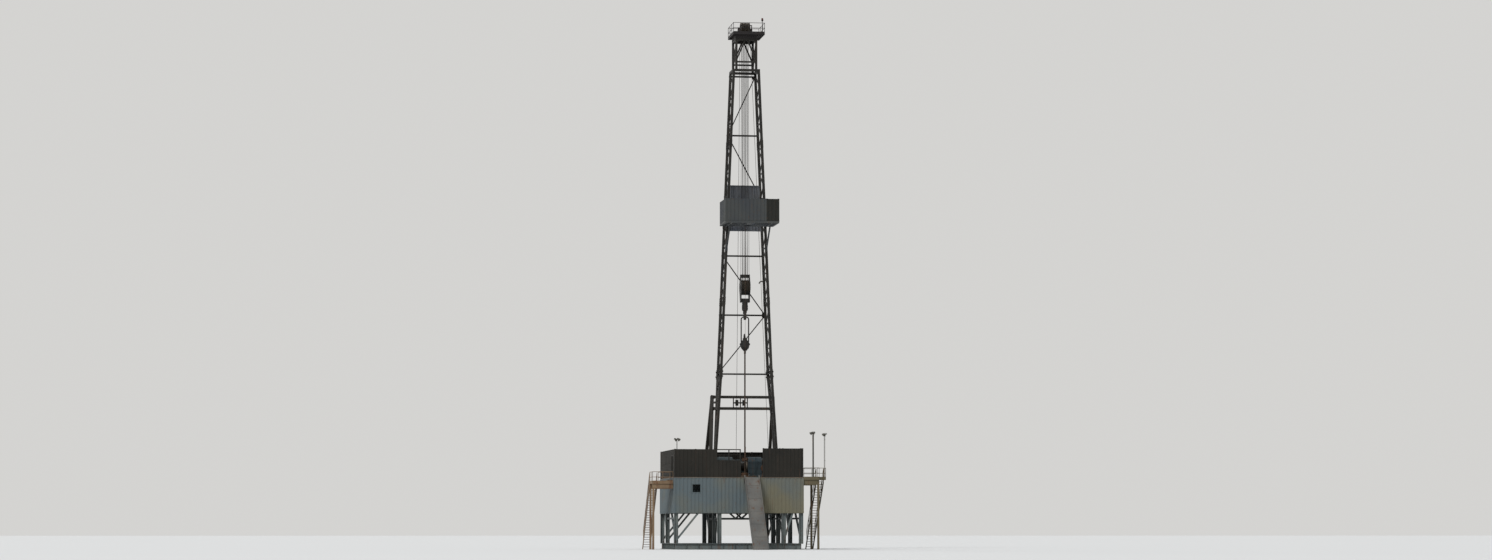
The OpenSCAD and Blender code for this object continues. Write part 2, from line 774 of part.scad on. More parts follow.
// Raising frame behind the mast: four legs, two head beams, links to the mast and line sheaves
module a_frame() {
    top = aframe_z + head_gap;
    link_z = aframe_z + 290;
    rear_foot = floor_rear - 300;
    tie_h = 900;
    tie_y = rear_foot - (rear_foot - head_y) * (tie_h + 100) / (top - floor_z + 60);
    color("#3a3833") {
        difference() {
            union() {
                for (s = [-1, 1]) {
                    bar([s * aframe_foot, 700, floor_z - 100], [s * aframe_head, head_y, top + 40], aframe_w);
                    bar([s * aframe_foot, rear_foot, floor_z - 100],
                        [s * aframe_head, head_y, top - 40], aframe_w);
                    bar([s * (aframe_foot - 30), 760, floor_z + tie_h],
                        [s * (aframe_foot - 30), tie_y, floor_z + tie_h], 80);
                    bar([s * aframe_head, head_y, link_z], [s * mast_half(link_z), 300, link_z], 100);
                }
                for (z = [aframe_z, top])
                    block([-aframe_head, head_y - 60, z - 70], [aframe_head, head_y + 60, z + 70]);
                for (x = [-480, -120, 240])
                    block([x, head_y - 60, aframe_z + 60], [x + 40, head_y + 60, top - 60]);
                for (x = [-280, 80])
                    translate([x, head_y, aframe_z + head_gap / 2]) rope_wheel(170, 120, 30);
                translate([-480, head_y, aframe_z + head_gap / 2])
                    rotate([0, 90, 0]) cylinder(d = 70, h = 760);
            }
            block([-3000, -500, floor_z - 500], [3000, 4500, floor_z]);
            for (s = [-1, 1])
                lower_chords(s);
            for (s = [-1, 1])
                block([s * 1400 - 300, -600, aframe_z], [s * 1400 + 300, rear_y(link_z), top]);
        }
    }
}

// Straight top section: base ring, four posts, knee braces and side crosses
module crown_section() {
    y0 = -mast_front;
    y1 = mast_rear;
    z0 = crown_base_z + ring_h / 2;
    post = 110;
    color("#32312d") {
        translate([0, 0, crown_base_z - ring_h / 2])
            linear_extrude(ring_h)
                grid_plan([-top_half, top_half], [y0, y1], chord_w);
        for (x = [-crown_half, crown_half], y = [y0, y1])
            block([x - post / 2, y - post / 2, z0 - 1], [x + post / 2, y + post / 2, crown_z]);
        for (y = [y0, y1]) {
            block([-crown_half, y - 40, z0 + 330], [crown_half, y + 40, z0 + 410]);
            for (s = [-1, 1])
                bar([s * crown_half, y, z0 + 450], [s * 60, y, crown_z - 60], 70);
            block([-crown_half, y - 45, crown_z - 90], [crown_half, y + 45, crown_z]);
        }
        for (x = [-crown_half, crown_half]) {
            bar([x, y0, z0 + 60], [x, y1, crown_z - 90], 60);
            bar([x, y1, z0 + 60], [x, y0, crown_z - 90], 60);
            block([x - 45, y0, crown_z - 90], [x + 45, y1, crown_z]);
        }
    }
}

// Crown beams with the two pedestals and the pin that carry the sheaves
module crown_frame() {
    bx = pedestal_x;
    guard_z = crown_axle_z + 200;
    color("#211d1e") {
        translate([0, 0, crown_z])
            linear_extrude(crown_beam)
                grid_plan([-crown_half, -bx, bx, crown_half], [-mast_front, mast_rear], 110);
        for (s = [-1, 1])
            side_profile(s * bx - 45, 90)
                polygon([[-260, crown_top_z - 1], [260, crown_top_z - 1],
                         [110, crown_axle_z + 60], [-110, crown_axle_z + 60]]);
        translate([-bx - 70, 0, crown_axle_z]) rotate([0, 90, 0]) cylinder(d = axle_d, h = 2 * bx + 140);
        for (s = [-1, 1]) {
            y = s * (sheave_r + 60);
            for (x = [-bx, bx - 40])
                block([x, y - 20, crown_top_z - 1], [x + 40, y + 20, guard_z]);
            block([-bx, y - 20, guard_z - 40], [bx, y + 20, guard_z]);
        }
    }
}

// Walkway round the crown with its rails and the beacon pole
module crown_platform() {
    x0 = -720;
    x1 = 900;
    y0 = -900;
    y1 = 1150;
    r = rail_w / 2;
    hole_x = pedestal_x + 130;
    hole_y = sheave_r + 120;
    color("#2b2827") {
        difference() {
            block([x0, y0, crown_top_z], [x1, y1, crown_top_z + 20]);
            block([-hole_x, -hole_y, crown_top_z - 1], [hole_x, hole_y, crown_top_z + 21]);
        }
        hand_rail([[x0 + r, y0 + r, crown_top_z + 19], [x1 - r, y0 + r, crown_top_z + 19],
                   [x1 - r, y1 - r, crown_top_z + 19], [x0 + r, y1 - r, crown_top_z + 19],
                   [x0 + r, y0 + r + 20, crown_top_z + 19]]);
        translate([x1 - 60, -420, crown_top_z + 19]) cylinder(d = 30, h = 720, $fn = 8);
        translate([x1 - 60, -420, crown_top_z + 735]) cylinder(d = 110, h = 60, $fn = 12);
        translate([x1 - 60, -420, crown_top_z + 790]) cylinder(d = 90, h = 90, $fn = 12);
    }
}

// One grooved sheave on the X axis
module sheave() {
    r = sheave_r;
    rotate([0, 90, 0])
        rotate_extrude($fn = 96)
            polygon([[axle_d / 2 + pin_gap, -rim_w / 2], [110, -rim_w / 2], [110, -14], [r - 62, -14],
                     [r - 54, -rim_w / 2], [r, -rim_w / 2], [r - groove, -line_d / 2 - 1],
                     [r - groove, line_d / 2 + 1], [r, rim_w / 2], [r - 54, rim_w / 2],
                     [r - 62, 14], [110, 14], [110, rim_w / 2], [axle_d / 2 + pin_gap, rim_w / 2]]);
}

// Sheaves in a row on one hub sleeve
module sheave_row(xs) {
    for (x = xs)
        translate([x, 0, 0]) sheave();
    l = xs[len(xs) - 1] - xs[0] + rim_w;
    translate([-l / 2, 0, 0])
        rotate([0, 90, 0])
            linear_extrude(l)
                difference() {
                    circle(r = axle_d / 2 + pin_gap + 24);
                    circle(r = axle_d / 2 + pin_gap);
                }
}

module crown_sheaves() {
    color("#4a4540") translate([0, 0, crown_axle_z]) sheave_row(crown_x);
}

module block_sheaves() {
    color("#4a4540") translate([0, 0, block_z]) sheave_row(block_x);
}

// Frame, fingers, walkway and knee braces of the racking board, on the front chords
module racking_board() {
    b = board_beam;
    y1 = -mast_front - chord_r;
    y0 = -board_front;
    z1 = board_z;
    xo = board_half;
    pitch = (y1 - y0 - 500) / fingers;
    aisle = 320;
    color("#42464a") {
        block([-xo, y1 - b, z1 - b], [xo, y1, z1]);
        block([-xo, y0, z1 - b], [xo, y0 + b, z1]);
        for (s = [-1, 1]) {
            block([s * (xo - b / 2) - b / 2, y0, z1 - b], [s * (xo - b / 2) + b / 2, y1, z1]);
            for (i = [0:fingers - 1])
                block([s > 0 ? aisle : -xo + b - 10, y0 + 300 + i * pitch, z1 - finger_w],
                      [s > 0 ? xo - b + 10 : -aisle, y0 + 300 + i * pitch + finger_w, z1]);
            xm = mast_half(z1 - 1200);
            block([s * xm - 60, y1 - 20, z1 - 1350], [s * xm + 60, y1, z1 - 1100]);
            bar([s * xm, y1 - 28, z1 - 1250], [s * xm, y0 + 700, z1 - b / 2], 70);
            block([s * xm - 40, y0, z1 - b], [s * xm + 40, y1, z1 - finger_w + 1]);
        }
        block([-150, y0, z1 - 40], [150, y1 - 1, z1]);
    }
}

// Basket walls on three sides of the racking board
module racking_walls() {
    y1 = -mast_front - chord_r;
    y0 = -board_front;
    color("#42464a") {
        for (s = [-1, 1])
            block([s * (board_half - wall_t / 2) - wall_t / 2, y0, board_z],
                  [s * (board_half - wall_t / 2) + wall_t / 2, y1, board_z + basket_h]);
        block([-board_half, y0, board_z], [board_half, y0 + wall_t, board_z + basket_h]);
        for (s = [-1, 1], y = [y0 + wall_t, (y0 + y1) / 2, y1 - 50]) {
            x = s * (board_half - wall_t - 24);
            block([x - 25, y, board_z], [x + 25, y + 50, board_z + basket_h]);
        }
    }
}

// Tall wall between the rear chords, behind the derrickman's board
module tall_wall() {
    y = mast_rear - chord_r - wall_t;
    z0 = board_z - 230;
    w0 = mast_half(z0) - lace_w / 2 - 8;
    w1 = mast_half(z0 + tall_wall_h) - lace_w / 2 - 8;
    color("#42464a") {
        front_profile(y, wall_t)
            polygon([[-w0, z0], [w0, z0], [w1, z0 + tall_wall_h], [-w1, z0 + tall_wall_h]]);
        for (x = [-600, 0, 600])
            block([x - 25, y - 40, z0], [x + 25, y + 1, z0 + tall_wall_h]);
    }
}

// Ladder up the left side of the upper mast, with rungs cut from its rails' plan
module mast_ladder() {
    rung = 150;
    z0 = knee_z + 20;
    l = crown_base_z - ring_h / 2 - z0 - 60;
    w = 220;
    off = lace_w / 2 * (cos(mast_tilt) + sin(mast_tilt)) + seat;
    n = floor(l / rung) - 1;
    color("#4a4a45")
        translate([-mast_half(z0) - off / cos(mast_tilt), 125, z0])
            rotate([0, mast_tilt, 0])
                translate([-30, 0, 0])
                    rotate([90, 0, 90])
                        linear_extrude(30)
                            difference() {
                                translate([-w / 2, 0]) square([w, l]);
                                for (i = [0:n])
                                    translate([-w / 2 + 24, 25 + i * rung]) square([w - 48, rung - 24]);
                            }
}

// Mud standpipe on the right rear chord, with its bent top
module standpipe() {
    d = 64;
    pipe_rise = 4550;
    z0 = knee_z + 150;
    z1 = z0 + pipe_rise;
    y = mast_rear + chord_r + girt_w + d / 2 + 10;
    l = (z1 - z0) / cos(mast_tilt);
    color("#6b6a64") {
        translate([mast_half(z0) + 20, y, z0])
            rotate([0, -mast_tilt, 0]) {
                cylinder(d = d, h = l);
                translate([-120, 0, l])
                    rotate([90, 0, 0])
                        rotate_extrude(angle = 180) translate([120, 0]) circle(d = d);
            }
        for (z = [z0 + 300, (z0 + z1) / 2, z1 - 300])
            block([mast_half(z) - 50, mast_rear + chord_r, z - 30], [mast_half(z) + 70, y, z + 30]);
    }
}

module rotary_housing() {
    color("#3b3a36")
        difference() {
            block([-rotary_w / 2, -rotary_l / 2, deck_top], [rotary_w / 2, rotary_l / 2, rotary_top]);
            translate([0, 0, deck_top + 30]) cylinder(d = table_d + 2 * run_gap, h = 400, $fn = 96);
            translate([0, 0, deck_top - 1]) cylinder(d = table_d - 100, h = 60, $fn = 96);
        }
}

module rotary_table() {
    color("#6a655c")
        translate([0, 0, deck_top + 30 + seat])
            difference() {
                cylinder(d = table_d, h = rotary_top - deck_top - 20, $fn = 96);
                translate([0, 0, -1]) cylinder(d = rotary_bore, h = 400, $fn = 96);
            }
}

bush_z = rotary_top + 10 + seat;

// Kelly bushing with its lower skirt, flange, body and four roller caps
module kelly_bushing() {
    r_af = kelly_af / 2 + kelly_gap;
    color("#57371f")
        difference() {
            union() {
                translate([0, 0, bush_z - 110]) cylinder(d = rotary_bore - 2 * run_gap, h = 111, $fn = 96);
                translate([0, 0, bush_z]) cylinder(d = 430, h = 30, $fn = 96);
                translate([0, 0, bush_z + 29]) cylinder(d = 300, h = 130, $fn = 96);
                for (a = [0:90:270])
                    rotate([0, 0, a])
                        translate([105, 0, bush_z + 90]) rotate([0, 90, 0]) cylinder(d = 80, h = 80);
            }
            translate([0, 0, bush_z - 200])
                cylinder(r = r_af / cos(30), h = 500, $fn = 6);
        }
}

// Hexagonal kelly with its round upper end and the swivel's stem
module kelly() {
    color("#6a5848") {
        translate([0, 0, kelly_low]) cylinder(d = kelly_af - 6, h = 200);
        translate([0, 0, kelly_low + 150]) cylinder(r = kelly_af / 2 / cos(30), h = kelly_len - 150, $fn = 6);
        translate([0, 0, kelly_top - 1]) cylinder(d = 104, h = kelly_neck + 1);
        translate([0, 0, swivel_low - 1]) cylinder(d = 96, h = stem_h + 1 - seat);
    }
}

// Side view of a case with rounded upper corners
module case_plan(l, h, r) {
    square([l, h - r]);
    translate([r, 0]) square([l - 2 * r, h]);
    for (y = [r, l - r])
        translate([y, h - r]) circle(r = r);
}

// Spool of a cathead, on the X axis
module cathead() {
    rotate([0, 90, 0])
        rotate_extrude($fn = 48)
            polygon([[0, 0], [130, 0], [130, 20], [90, 45], [80, 90], [100, 130], [110, 150], [0, 150]]);
}

// Winch: skid, two chain cases with sunk panels, rear case, cat shaft, chain guard and brake lever
module drawworks() {
    x = dw_w / 2;
    y0 = dw_front;
    base = 120;
    side = (dw_w - drum_l) / 2 - 20;
    top = floor_z + dw_h;
    rear_l = 550;
    guard_w = 200;
    guard_x = 250;
    shaft = [y0 + 800, top - 160];
    lever_x = 760;
    color("#3c4a4e") {
        block([-x, y0, floor_z], [x, y0 + dw_l, floor_z + base]);
        for (s = [-1, 1])
            difference() {
                side_profile(s > 0 ? x - side : -x, side)
                    translate([y0, floor_z + base - 1]) case_plan(dw_l, dw_h - base + 1, 260);
                for (y = [y0 + 110, y0 + dw_l / 2 + 40])
                    side_profile(s > 0 ? x - 12 : -x - 1, 13)
                        translate([y, floor_z + base + 80]) case_plan(dw_l / 2 - 150, dw_h - base - 290, 90);
            }
        side_profile(-x + side - 1, 2 * (x - side + 1))
            translate([y0 + dw_l - rear_l, floor_z + base - 1]) case_plan(rear_l - 1, dw_h - base - 200, 180);
        translate([-x - 1, shaft[0], shaft[1]]) rotate([0, 90, 0]) cylinder(d = 90, h = 2 * x + 2);
        translate([x - 1, shaft[0], shaft[1]]) cathead();
        translate([-x + 1, shaft[0], shaft[1]]) mirror([1, 0, 0]) cathead();
        front_profile(rotary_l / 2, y0 + 1 - rotary_l / 2)
            translate([guard_x, floor_z]) {
                square([guard_w, guard_w / 2]);
                translate([guard_w / 2, guard_w / 2]) circle(d = guard_w);
            }
        translate([lever_x, y0 + 1, floor_z + 160]) rotate([90, 0, 0]) cylinder(d = 90, h = 60);
        rod([lever_x, y0 - 35, floor_z + 160], [lever_x, y0 - 190, floor_z + 960], 28);
    }
}

drum_y = dw_front + 430;
drum_z = floor_z + 620;

module drum() {
    flange_r = drum_flange_d / 2;
    x = drum_l / 2;
    half = [[drum_d / 2, x - 30], [flange_r - 45, x - 30], [flange_r - 30, x - 55], [flange_r, x - 55],
            [flange_r, x], [drum_d / 2, x], [drum_d / 2, x + 20], [0, x + 20]];
    color("#5a554d")
        translate([0, drum_y, drum_z])
            rotate([0, 90, 0])
                rotate_extrude($fn = 96)
                    polygon(concat(half, [for (i = [7:-1:0]) [half[i][0], -half[i][1]]]));
}

anchor_x = 990;
anchor_z = floor_z + 500;
anchor_r = 190;

module deadline_anchor() {
    y = -line_r;
    half_w = 85;
    rim = 30;
    rim_t = 12;
    color("#57371f") {
        for (d = [-120, 80])
            front_profile(y + d, 40)
                difference() {
                    union() {
                        polygon([[anchor_x - 200, floor_z], [anchor_x + 200, floor_z],
                                 [anchor_x + 75, anchor_z], [anchor_x - 75, anchor_z]]);
                        translate([anchor_x, anchor_z]) circle(r = 75);
                    }
                    polygon([[anchor_x - 110, floor_z + 70], [anchor_x + 110, floor_z + 70],
                             [anchor_x + 50, anchor_z - 130], [anchor_x - 50, anchor_z - 130]]);
                }
        block([anchor_x - 220, y - 160, floor_z], [anchor_x + 220, y + 160, floor_z + 30]);
        translate([anchor_x, y, anchor_z])
            rotate([90, 0, 0])
                rotate_extrude($fn = 96)
                    polygon([[0, -half_w], [anchor_r + rim, -half_w], [anchor_r + rim, rim_t - half_w],
                             [anchor_r, rim_t - half_w], [anchor_r, half_w - rim_t],
                             [anchor_r + rim, half_w - rim_t], [anchor_r + rim, half_w], [0, half_w]]);
        translate([anchor_x, y + 140, anchor_z]) rotate([90, 0, 0]) cylinder(d = 90, h = 280);
    }
}

module dead_line() {
    color("#4b463f")
        rod([crown_x[crown_n - 1], -line_r, crown_axle_z],
            [anchor_x + anchor_r + line_d / 2, -line_r, anchor_z], line_d, $fn = 12);
}

module fast_line() {
    color("#4b463f")
        rod([crown_x[0], line_r, crown_axle_z],
            [crown_x[0], drum_y - drum_d / 2 - line_d / 2, drum_z], line_d, $fn = 12);
}

// Ten parts of line between the crown and the travelling block
module drilling_lines() {
    color("#4b463f")
        for (i = [0:block_n - 1]) {
            rod([block_x[i], -line_r, block_z], [crown_x[i], -line_r, crown_axle_z], line_d, $fn = 12);
            rod([block_x[i], line_r, block_z], [crown_x[i + 1], line_r, crown_axle_z], line_d, $fn = 12);
        }
}

// Cheeks, pin with its bosses, cross heads and lower sheave guard of the travelling block
module block_frame() {
    z_top = block_z + 640;
    z_low = block_z - 780;
    color("#23201f") {
        for (s = [-1, 1])
            side_profile(s > 0 ? cheek_x : -cheek_x - cheek_t, cheek_t)
                union() {
                    translate([0, block_z]) circle(r = 405);
                    polygon([[-395, block_z - 80], [395, block_z - 80], [150, z_low], [-150, z_low]]);
                    polygon([[-390, block_z + 100], [390, block_z + 100], [120, z_top], [-120, z_top]]);
                }
        translate([-cheek_x - cheek_t - 20, 0, block_z]) rotate([0, 90, 0])
            cylinder(d = axle_d, h = 2 * (cheek_x + cheek_t + 20));
        for (s = [-1, 1])
            translate([s > 0 ? cheek_x + cheek_t - 1 : -cheek_x - cheek_t - 13, 0, block_z])
                rotate([0, 90, 0]) cylinder(d = 220, h = 14);
        translate([0, 0, block_z])
            rotate([90, 0, 90])
                rotate([0, 0, -145])
                    rotate_extrude(angle = 110, $fn = 96)
                        translate([sheave_r + 12, -cheek_x - 1]) square([8, 2 * cheek_x + 2]);
        block([-cheek_x - 1, -110, z_top - 160], [cheek_x + 1, 110, z_top]);
        block([-cheek_x - 1, -120, z_low], [cheek_x + 1, 120, z_low + 200]);
    }
}

// Section of the hook's bar, away from the bail's centre: its outer half width is hook_r
module hook_section() {
    corner = 28;
    inner = bail_d / 2 + seat;
    x0 = inner + corner;
    x1 = hook_r - corner;
    y = hook_t / 2 - corner;
    translate([x0, -y - corner]) square([x1 - x0, 2 * (y + corner)]);
    translate([inner, -y]) square([hook_r - inner, 2 * y]);
    for (cx = [x0, x1], cy = [-y, y])
        translate([cx, cy]) circle(r = corner);
}

// Hook with its spring housing, above the swivel's bail
module hook() {
    z1 = block_z - 780;
    zc = bail_z;
    bridge = hook_t - 6;
    color("#2b2827") {
        translate([0, 0, zc])
            rotate([180, 0, 0]) rotate([90, 0, 90]) rotate_extrude(angle = 180, $fn = 96) hook_section();
        translate([0, 0, zc]) linear_extrude(240) rotate(-90) hook_section();
        translate([0, 0, zc]) linear_extrude(110) rotate(90) hook_section();
        block([-bridge / 2, 6 - hook_r, zc + 150], [bridge / 2, 90, zc + 238]);
        rotate_extrude($fn = 64)
            polygon([[0, zc + 200], [80, zc + 200], [100, zc + 225], [100, zc + 300], [hook_r, zc + 350],
                     [hook_r, z1 - 110], [hook_r - 12, z1 - 100], [hook_r - 12, z1 - 70], [hook_r, z1 - 60],
                     [hook_r, z1 - 25], [hook_r - 25, z1], [0, z1]]);
    }
}

// Bail, housing and gooseneck of the swivel
module swivel() {
    r = swivel_d / 2;
    gz = swivel_top + 60;
    ear_z = swivel_low + 330;
    arch_z = bail_z - bail_bend;
    flat = bail_half - bail_bend;
    color("#2b2827") {
        difference() {
            translate([0, 0, swivel_low])
                rotate_extrude($fn = 64)
                    polygon([[0, 0], [90, 0], [90, 35], [125, 35], [125, 65], [165, 85], [r - 12, 165],
                             [r, 190], [r, swivel_h - 170], [r - 20, swivel_h - 145],
                             [170, swivel_h - 120], [170, swivel_h - 90], [130, swivel_h - 70],
                             [105, swivel_h - 30], [105, swivel_h], [0, swivel_h]]);
            translate([0, 0, swivel_low - 1]) cylinder(d = 96 + 2 * run_gap, h = stem_h + 1);
        }
        for (s = [-1, 1]) {
            translate([s > 0 ? 170 : -bail_half - 60, 0, ear_z]) rotate([0, 90, 0])
                cylinder(d = 110, h = bail_half + 60 - 170);
            translate([s * bail_half, 0, ear_z - 40]) cylinder(d = bail_d, h = arch_z - ear_z + 40);
        }
        for (turn = [0, 180])
            rotate([0, 0, turn])
                translate([flat, 0, arch_z])
                    rotate([90, 0, 0]) rotate_extrude(angle = 90) translate([bail_bend, 0]) circle(d = bail_d);
        translate([-flat, 0, bail_z]) rotate([0, 90, 0]) cylinder(d = bail_d, h = 2 * flat);
        translate([0, 0, swivel_top - 20]) cylinder(d = 90, h = 120);
        translate([0, 150, gz + 40])
            rotate([90, 0, 90])
                rotate_extrude(angle = 180) translate([150, 0]) circle(d = 66);
        translate([0, 300, gz - 60]) cylinder(d = 66, h = 100);
        translate([0, 300, gz - 60]) cylinder(d = 110, h = 30);
    }
}

// Pipe tong on its hanger and line below the racking board: an open jaw ring with pins and a lever arm
module pipe_tong() {
    x = -70;
    y = -mast_front - chord_r - 50;
    z = floor_z + 850;
    jaw_r = 150;
    jaw_in = 60;
    jaw_h = 130;
    jaw_open = 70;
    arm_l = 520;
    hanger_d = 60;
    hanger_h = 700;
    jaw_y = (jaw_r + jaw_in) / 2;
    color("#57371f") {
        translate([x, y + jaw_y, z]) {
            rotate([0, 0, 90 + jaw_open / 2])
                rotate_extrude(angle = 360 - jaw_open, $fn = 96)
                    translate([jaw_in, 0]) square([jaw_r - jaw_in, jaw_h]);
            for (a = [-20, 200])
                rotate([0, 0, a])
                    translate([jaw_y, 0, -25]) cylinder(d = 44, h = jaw_h + 50);
        }
        translate([x, y, z + 30])
            linear_extrude(jaw_h - 60)
                difference() {
                    union() {
                        polygon([[-75, 0], [-35, -arm_l], [35, -arm_l], [75, 0]]);
                        translate([0, -arm_l]) circle(d = 100);
                    }
                    translate([0, -arm_l]) circle(d = 40);
                }
        translate([x, y, z + jaw_h - 1]) cylinder(d = 90, h = 80);
        translate([x, y, z + jaw_h + 78]) cylinder(d = hanger_d, h = hanger_h - jaw_h - 78);
        rod([x, y, z + hanger_h - 10], [x, y, board_z - board_beam], 12, $fn = 8);
    }
}

// Lamp posts on the floor's corners and on the right landing
module light_poles() {
    spots = [[-floor_left + 150, -floor_front + 160, floor_z, 1900],
             [right_x0 + 0.6 * landing_w, right_y0 + 120, right_z, 2300],
             [right_x1 - 60, -1000, right_z, 2350],
             [right_x1 + stair_w - 40, stair_y - 540, right_z, 2250]];
    arm_l = 380;
    color("#4a4a45")
        for (p = spots)
            translate([p[0], p[1], p[2]]) {
                cylinder(d = 34, h = p[3], $fn = 8);
                translate([0, 0, p[3] - 15])
                    rotate([0, 0, atan2(-p[1], -p[0])]) {
                        translate([-12, -arm_l / 2, -12]) cube([24, arm_l, 24]);
                        for (s = [-1, 1])
                            translate([-35, s * (arm_l / 2 - 70), 25]) rotate([0, 125, 0])
                                cylinder(d1 = 80, d2 = 150, h = 110, $fn = 24);
                    }
            }
}

base_frame();
sub_left();
sub_right();
sub_bracing();
floor_beams();
drill_floor();
cladding();
windwall_front();
windwall_left();
windwall_right();
windwall_back();
landing_right();
stair_right();
landing_left();
stair_left();
vdoor_ramp();
doghouse_floor();
doghouse_walls();
doghouse_roof();
doghouse_door();
doghouse_glass();
mast_shoes();
leg_left_lower();
leg_right_lower();
leg_left_upper();
leg_right_upper();
bracing_lower();
bracing_upper();
a_frame();
crown_section();
crown_frame();
crown_platform();
crown_sheaves();
racking_board();
racking_walls();
tall_wall();
mast_ladder();
standpipe();
rotary_housing();
rotary_table();
kelly_bushing();
drawworks();
drum();
deadline_anchor();
dead_line();
fast_line();
drilling_lines();
block_frame();
block_sheaves();
hook();
swivel();
kelly();
pipe_tong();
light_poles();
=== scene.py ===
"""Dresses the half-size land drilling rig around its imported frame, piece by piece, in metres."""

import functools
import itertools
import math

import bmesh
import bpy
from mathutils import Matrix, Vector


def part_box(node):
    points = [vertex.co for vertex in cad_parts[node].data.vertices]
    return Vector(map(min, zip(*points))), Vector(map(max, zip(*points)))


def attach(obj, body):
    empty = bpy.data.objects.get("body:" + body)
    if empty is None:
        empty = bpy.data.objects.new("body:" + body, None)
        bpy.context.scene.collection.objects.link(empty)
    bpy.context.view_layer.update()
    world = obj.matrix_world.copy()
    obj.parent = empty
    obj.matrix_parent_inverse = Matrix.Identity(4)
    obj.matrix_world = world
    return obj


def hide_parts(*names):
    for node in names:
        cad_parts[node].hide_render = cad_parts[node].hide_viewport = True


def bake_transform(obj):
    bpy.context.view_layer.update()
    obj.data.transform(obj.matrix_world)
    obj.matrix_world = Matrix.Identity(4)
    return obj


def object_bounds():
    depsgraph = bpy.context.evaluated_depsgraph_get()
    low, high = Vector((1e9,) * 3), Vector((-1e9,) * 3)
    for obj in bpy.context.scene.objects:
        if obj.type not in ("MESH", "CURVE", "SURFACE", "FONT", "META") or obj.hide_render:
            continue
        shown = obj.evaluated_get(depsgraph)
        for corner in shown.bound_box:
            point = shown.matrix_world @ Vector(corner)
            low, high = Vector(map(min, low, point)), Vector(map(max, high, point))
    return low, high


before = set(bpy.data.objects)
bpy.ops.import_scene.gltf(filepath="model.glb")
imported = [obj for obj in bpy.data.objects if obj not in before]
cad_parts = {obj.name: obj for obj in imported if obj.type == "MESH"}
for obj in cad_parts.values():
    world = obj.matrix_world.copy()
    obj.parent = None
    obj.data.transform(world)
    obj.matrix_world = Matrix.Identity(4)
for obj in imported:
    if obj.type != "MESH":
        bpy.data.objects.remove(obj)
frame_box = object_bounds()

# The camera stands where the photograph was taken from, 8 degrees left of the pipe ramp's line and at
# eye height, far off over flat ground. Its lens is longer, so that the rig fills the picture's height.
eye_height = 0.85
eye_distance = 168.0
eye_turn = math.radians(-8.0)
eye_lens = 80.0
aim = Vector((0.0, -0.4, (frame_box[0][2] + frame_box[1][2]) / 2 + 0.1))
eye = Vector((aim.x + eye_distance * math.sin(eye_turn), aim.y - eye_distance * math.cos(eye_turn), eye_height))
camera = bpy.data.objects.new("camera", bpy.data.cameras.new("camera"))
camera.data.lens = eye_lens
camera.data.clip_end = 3000.0
camera.location = eye
camera.rotation_mode = "QUATERNION"
camera.rotation_quaternion = (aim - eye).to_track_quat("-Z", "Y")
bpy.context.collection.objects.link(camera)
bpy.context.scene.camera = camera
bpy.context.scene.view_settings.view_transform = "Standard"

# The studio: a pale floor far wider than the rig, a soft high sun from the front left, a weak one from
# behind, and an even pale sky that also shows in glass and bare metal.
def sun(name, strength, softness, tilt, turn):
    """Sun lamp, its softness and angles in degrees."""
    lamp = bpy.data.objects.new(name, bpy.data.lights.new(name, "SUN"))
    lamp.data.energy = strength
    lamp.data.angle = math.radians(softness)
    lamp.rotation_euler = (math.radians(tilt), 0, math.radians(turn))
    bpy.context.collection.objects.link(lamp)


def set_up(node, **sockets):
    """Sets sockets of a shader node, with _ in a name for each space, and hands the node back."""
    for name, value in sockets.items():
        node.inputs[name.replace("_", " ")].default_value = value
    return node


def new_finish(name):
    """Material with its nodes, links and shader."""
    made = bpy.data.materials.new(name)
    made.use_nodes = True
    nodes = made.node_tree.nodes
    return made, nodes, made.node_tree.links, nodes["Principled BSDF"]


sun("key", 2.0, 18, 48, -38)
sun("back_light", 0.7, 30, -55, 30)
world = bpy.data.worlds.new("sky")
bpy.context.scene.world = world
world.use_nodes = True
sky_nodes, sky_links = world.node_tree.nodes, world.node_tree.links
even_light = set_up(sky_nodes["Background"], Color=(0.93, 0.96, 1.0, 1), Strength=0.62)
seen_sky = set_up(sky_nodes.new("ShaderNodeBackground"), Color=(0.66, 0.655, 0.64, 1))
rays = sky_nodes.new("ShaderNodeLightPath")
seen = rays.outputs["Is Camera Ray"]
for kind in ("Is Glossy Ray", "Is Transmission Ray"):
    either = sky_nodes.new("ShaderNodeMath")
    either.operation = "MAXIMUM"
    sky_links.new(seen, either.inputs[0])
    sky_links.new(rays.outputs[kind], either.inputs[1])
    seen = either.outputs[0]
choose = sky_nodes.new("ShaderNodeMixShader")
for source, socket in ((seen, "Fac"), (even_light.outputs[0], 1), (seen_sky.outputs[0], 2)):
    sky_links.new(source, choose.inputs[socket])
sky_links.new(choose.outputs[0], sky_nodes["World Output"].inputs["Surface"])

far = 700.0
corners = [(-far, -far, 0), (far, -far, 0), (far, far, 0), (-far, far, 0)]
ground_mesh = bpy.data.meshes.new("studio_floor")
ground_mesh.from_pydata(corners, [], [(0, 1, 2, 3)])
ground = bpy.data.objects.new("studio_floor", ground_mesh)
bpy.context.collection.objects.link(ground)
pale, _, _, pale_shader = new_finish("studio_floor")
set_up(pale_shader, Base_Color=(0.62, 0.62, 0.61, 1), Roughness=0.9)
ground_mesh.materials.append(pale)


# The substructure stands on a frame of welded skid beams. Columns and diagonals of square tube, made up
# with stiffened joints, carry the beams of the drill floor. All of it has weathered grey-blue paint.
def linear(colour):
    """A painter's 0 to 255 values turned into linear light."""
    parts = [c / 255 for c in colour]
    return tuple(p / 12.92 if p < 0.04045 else ((p + 0.055) / 1.055) ** 2.4 for p in parts) + (1.0,)


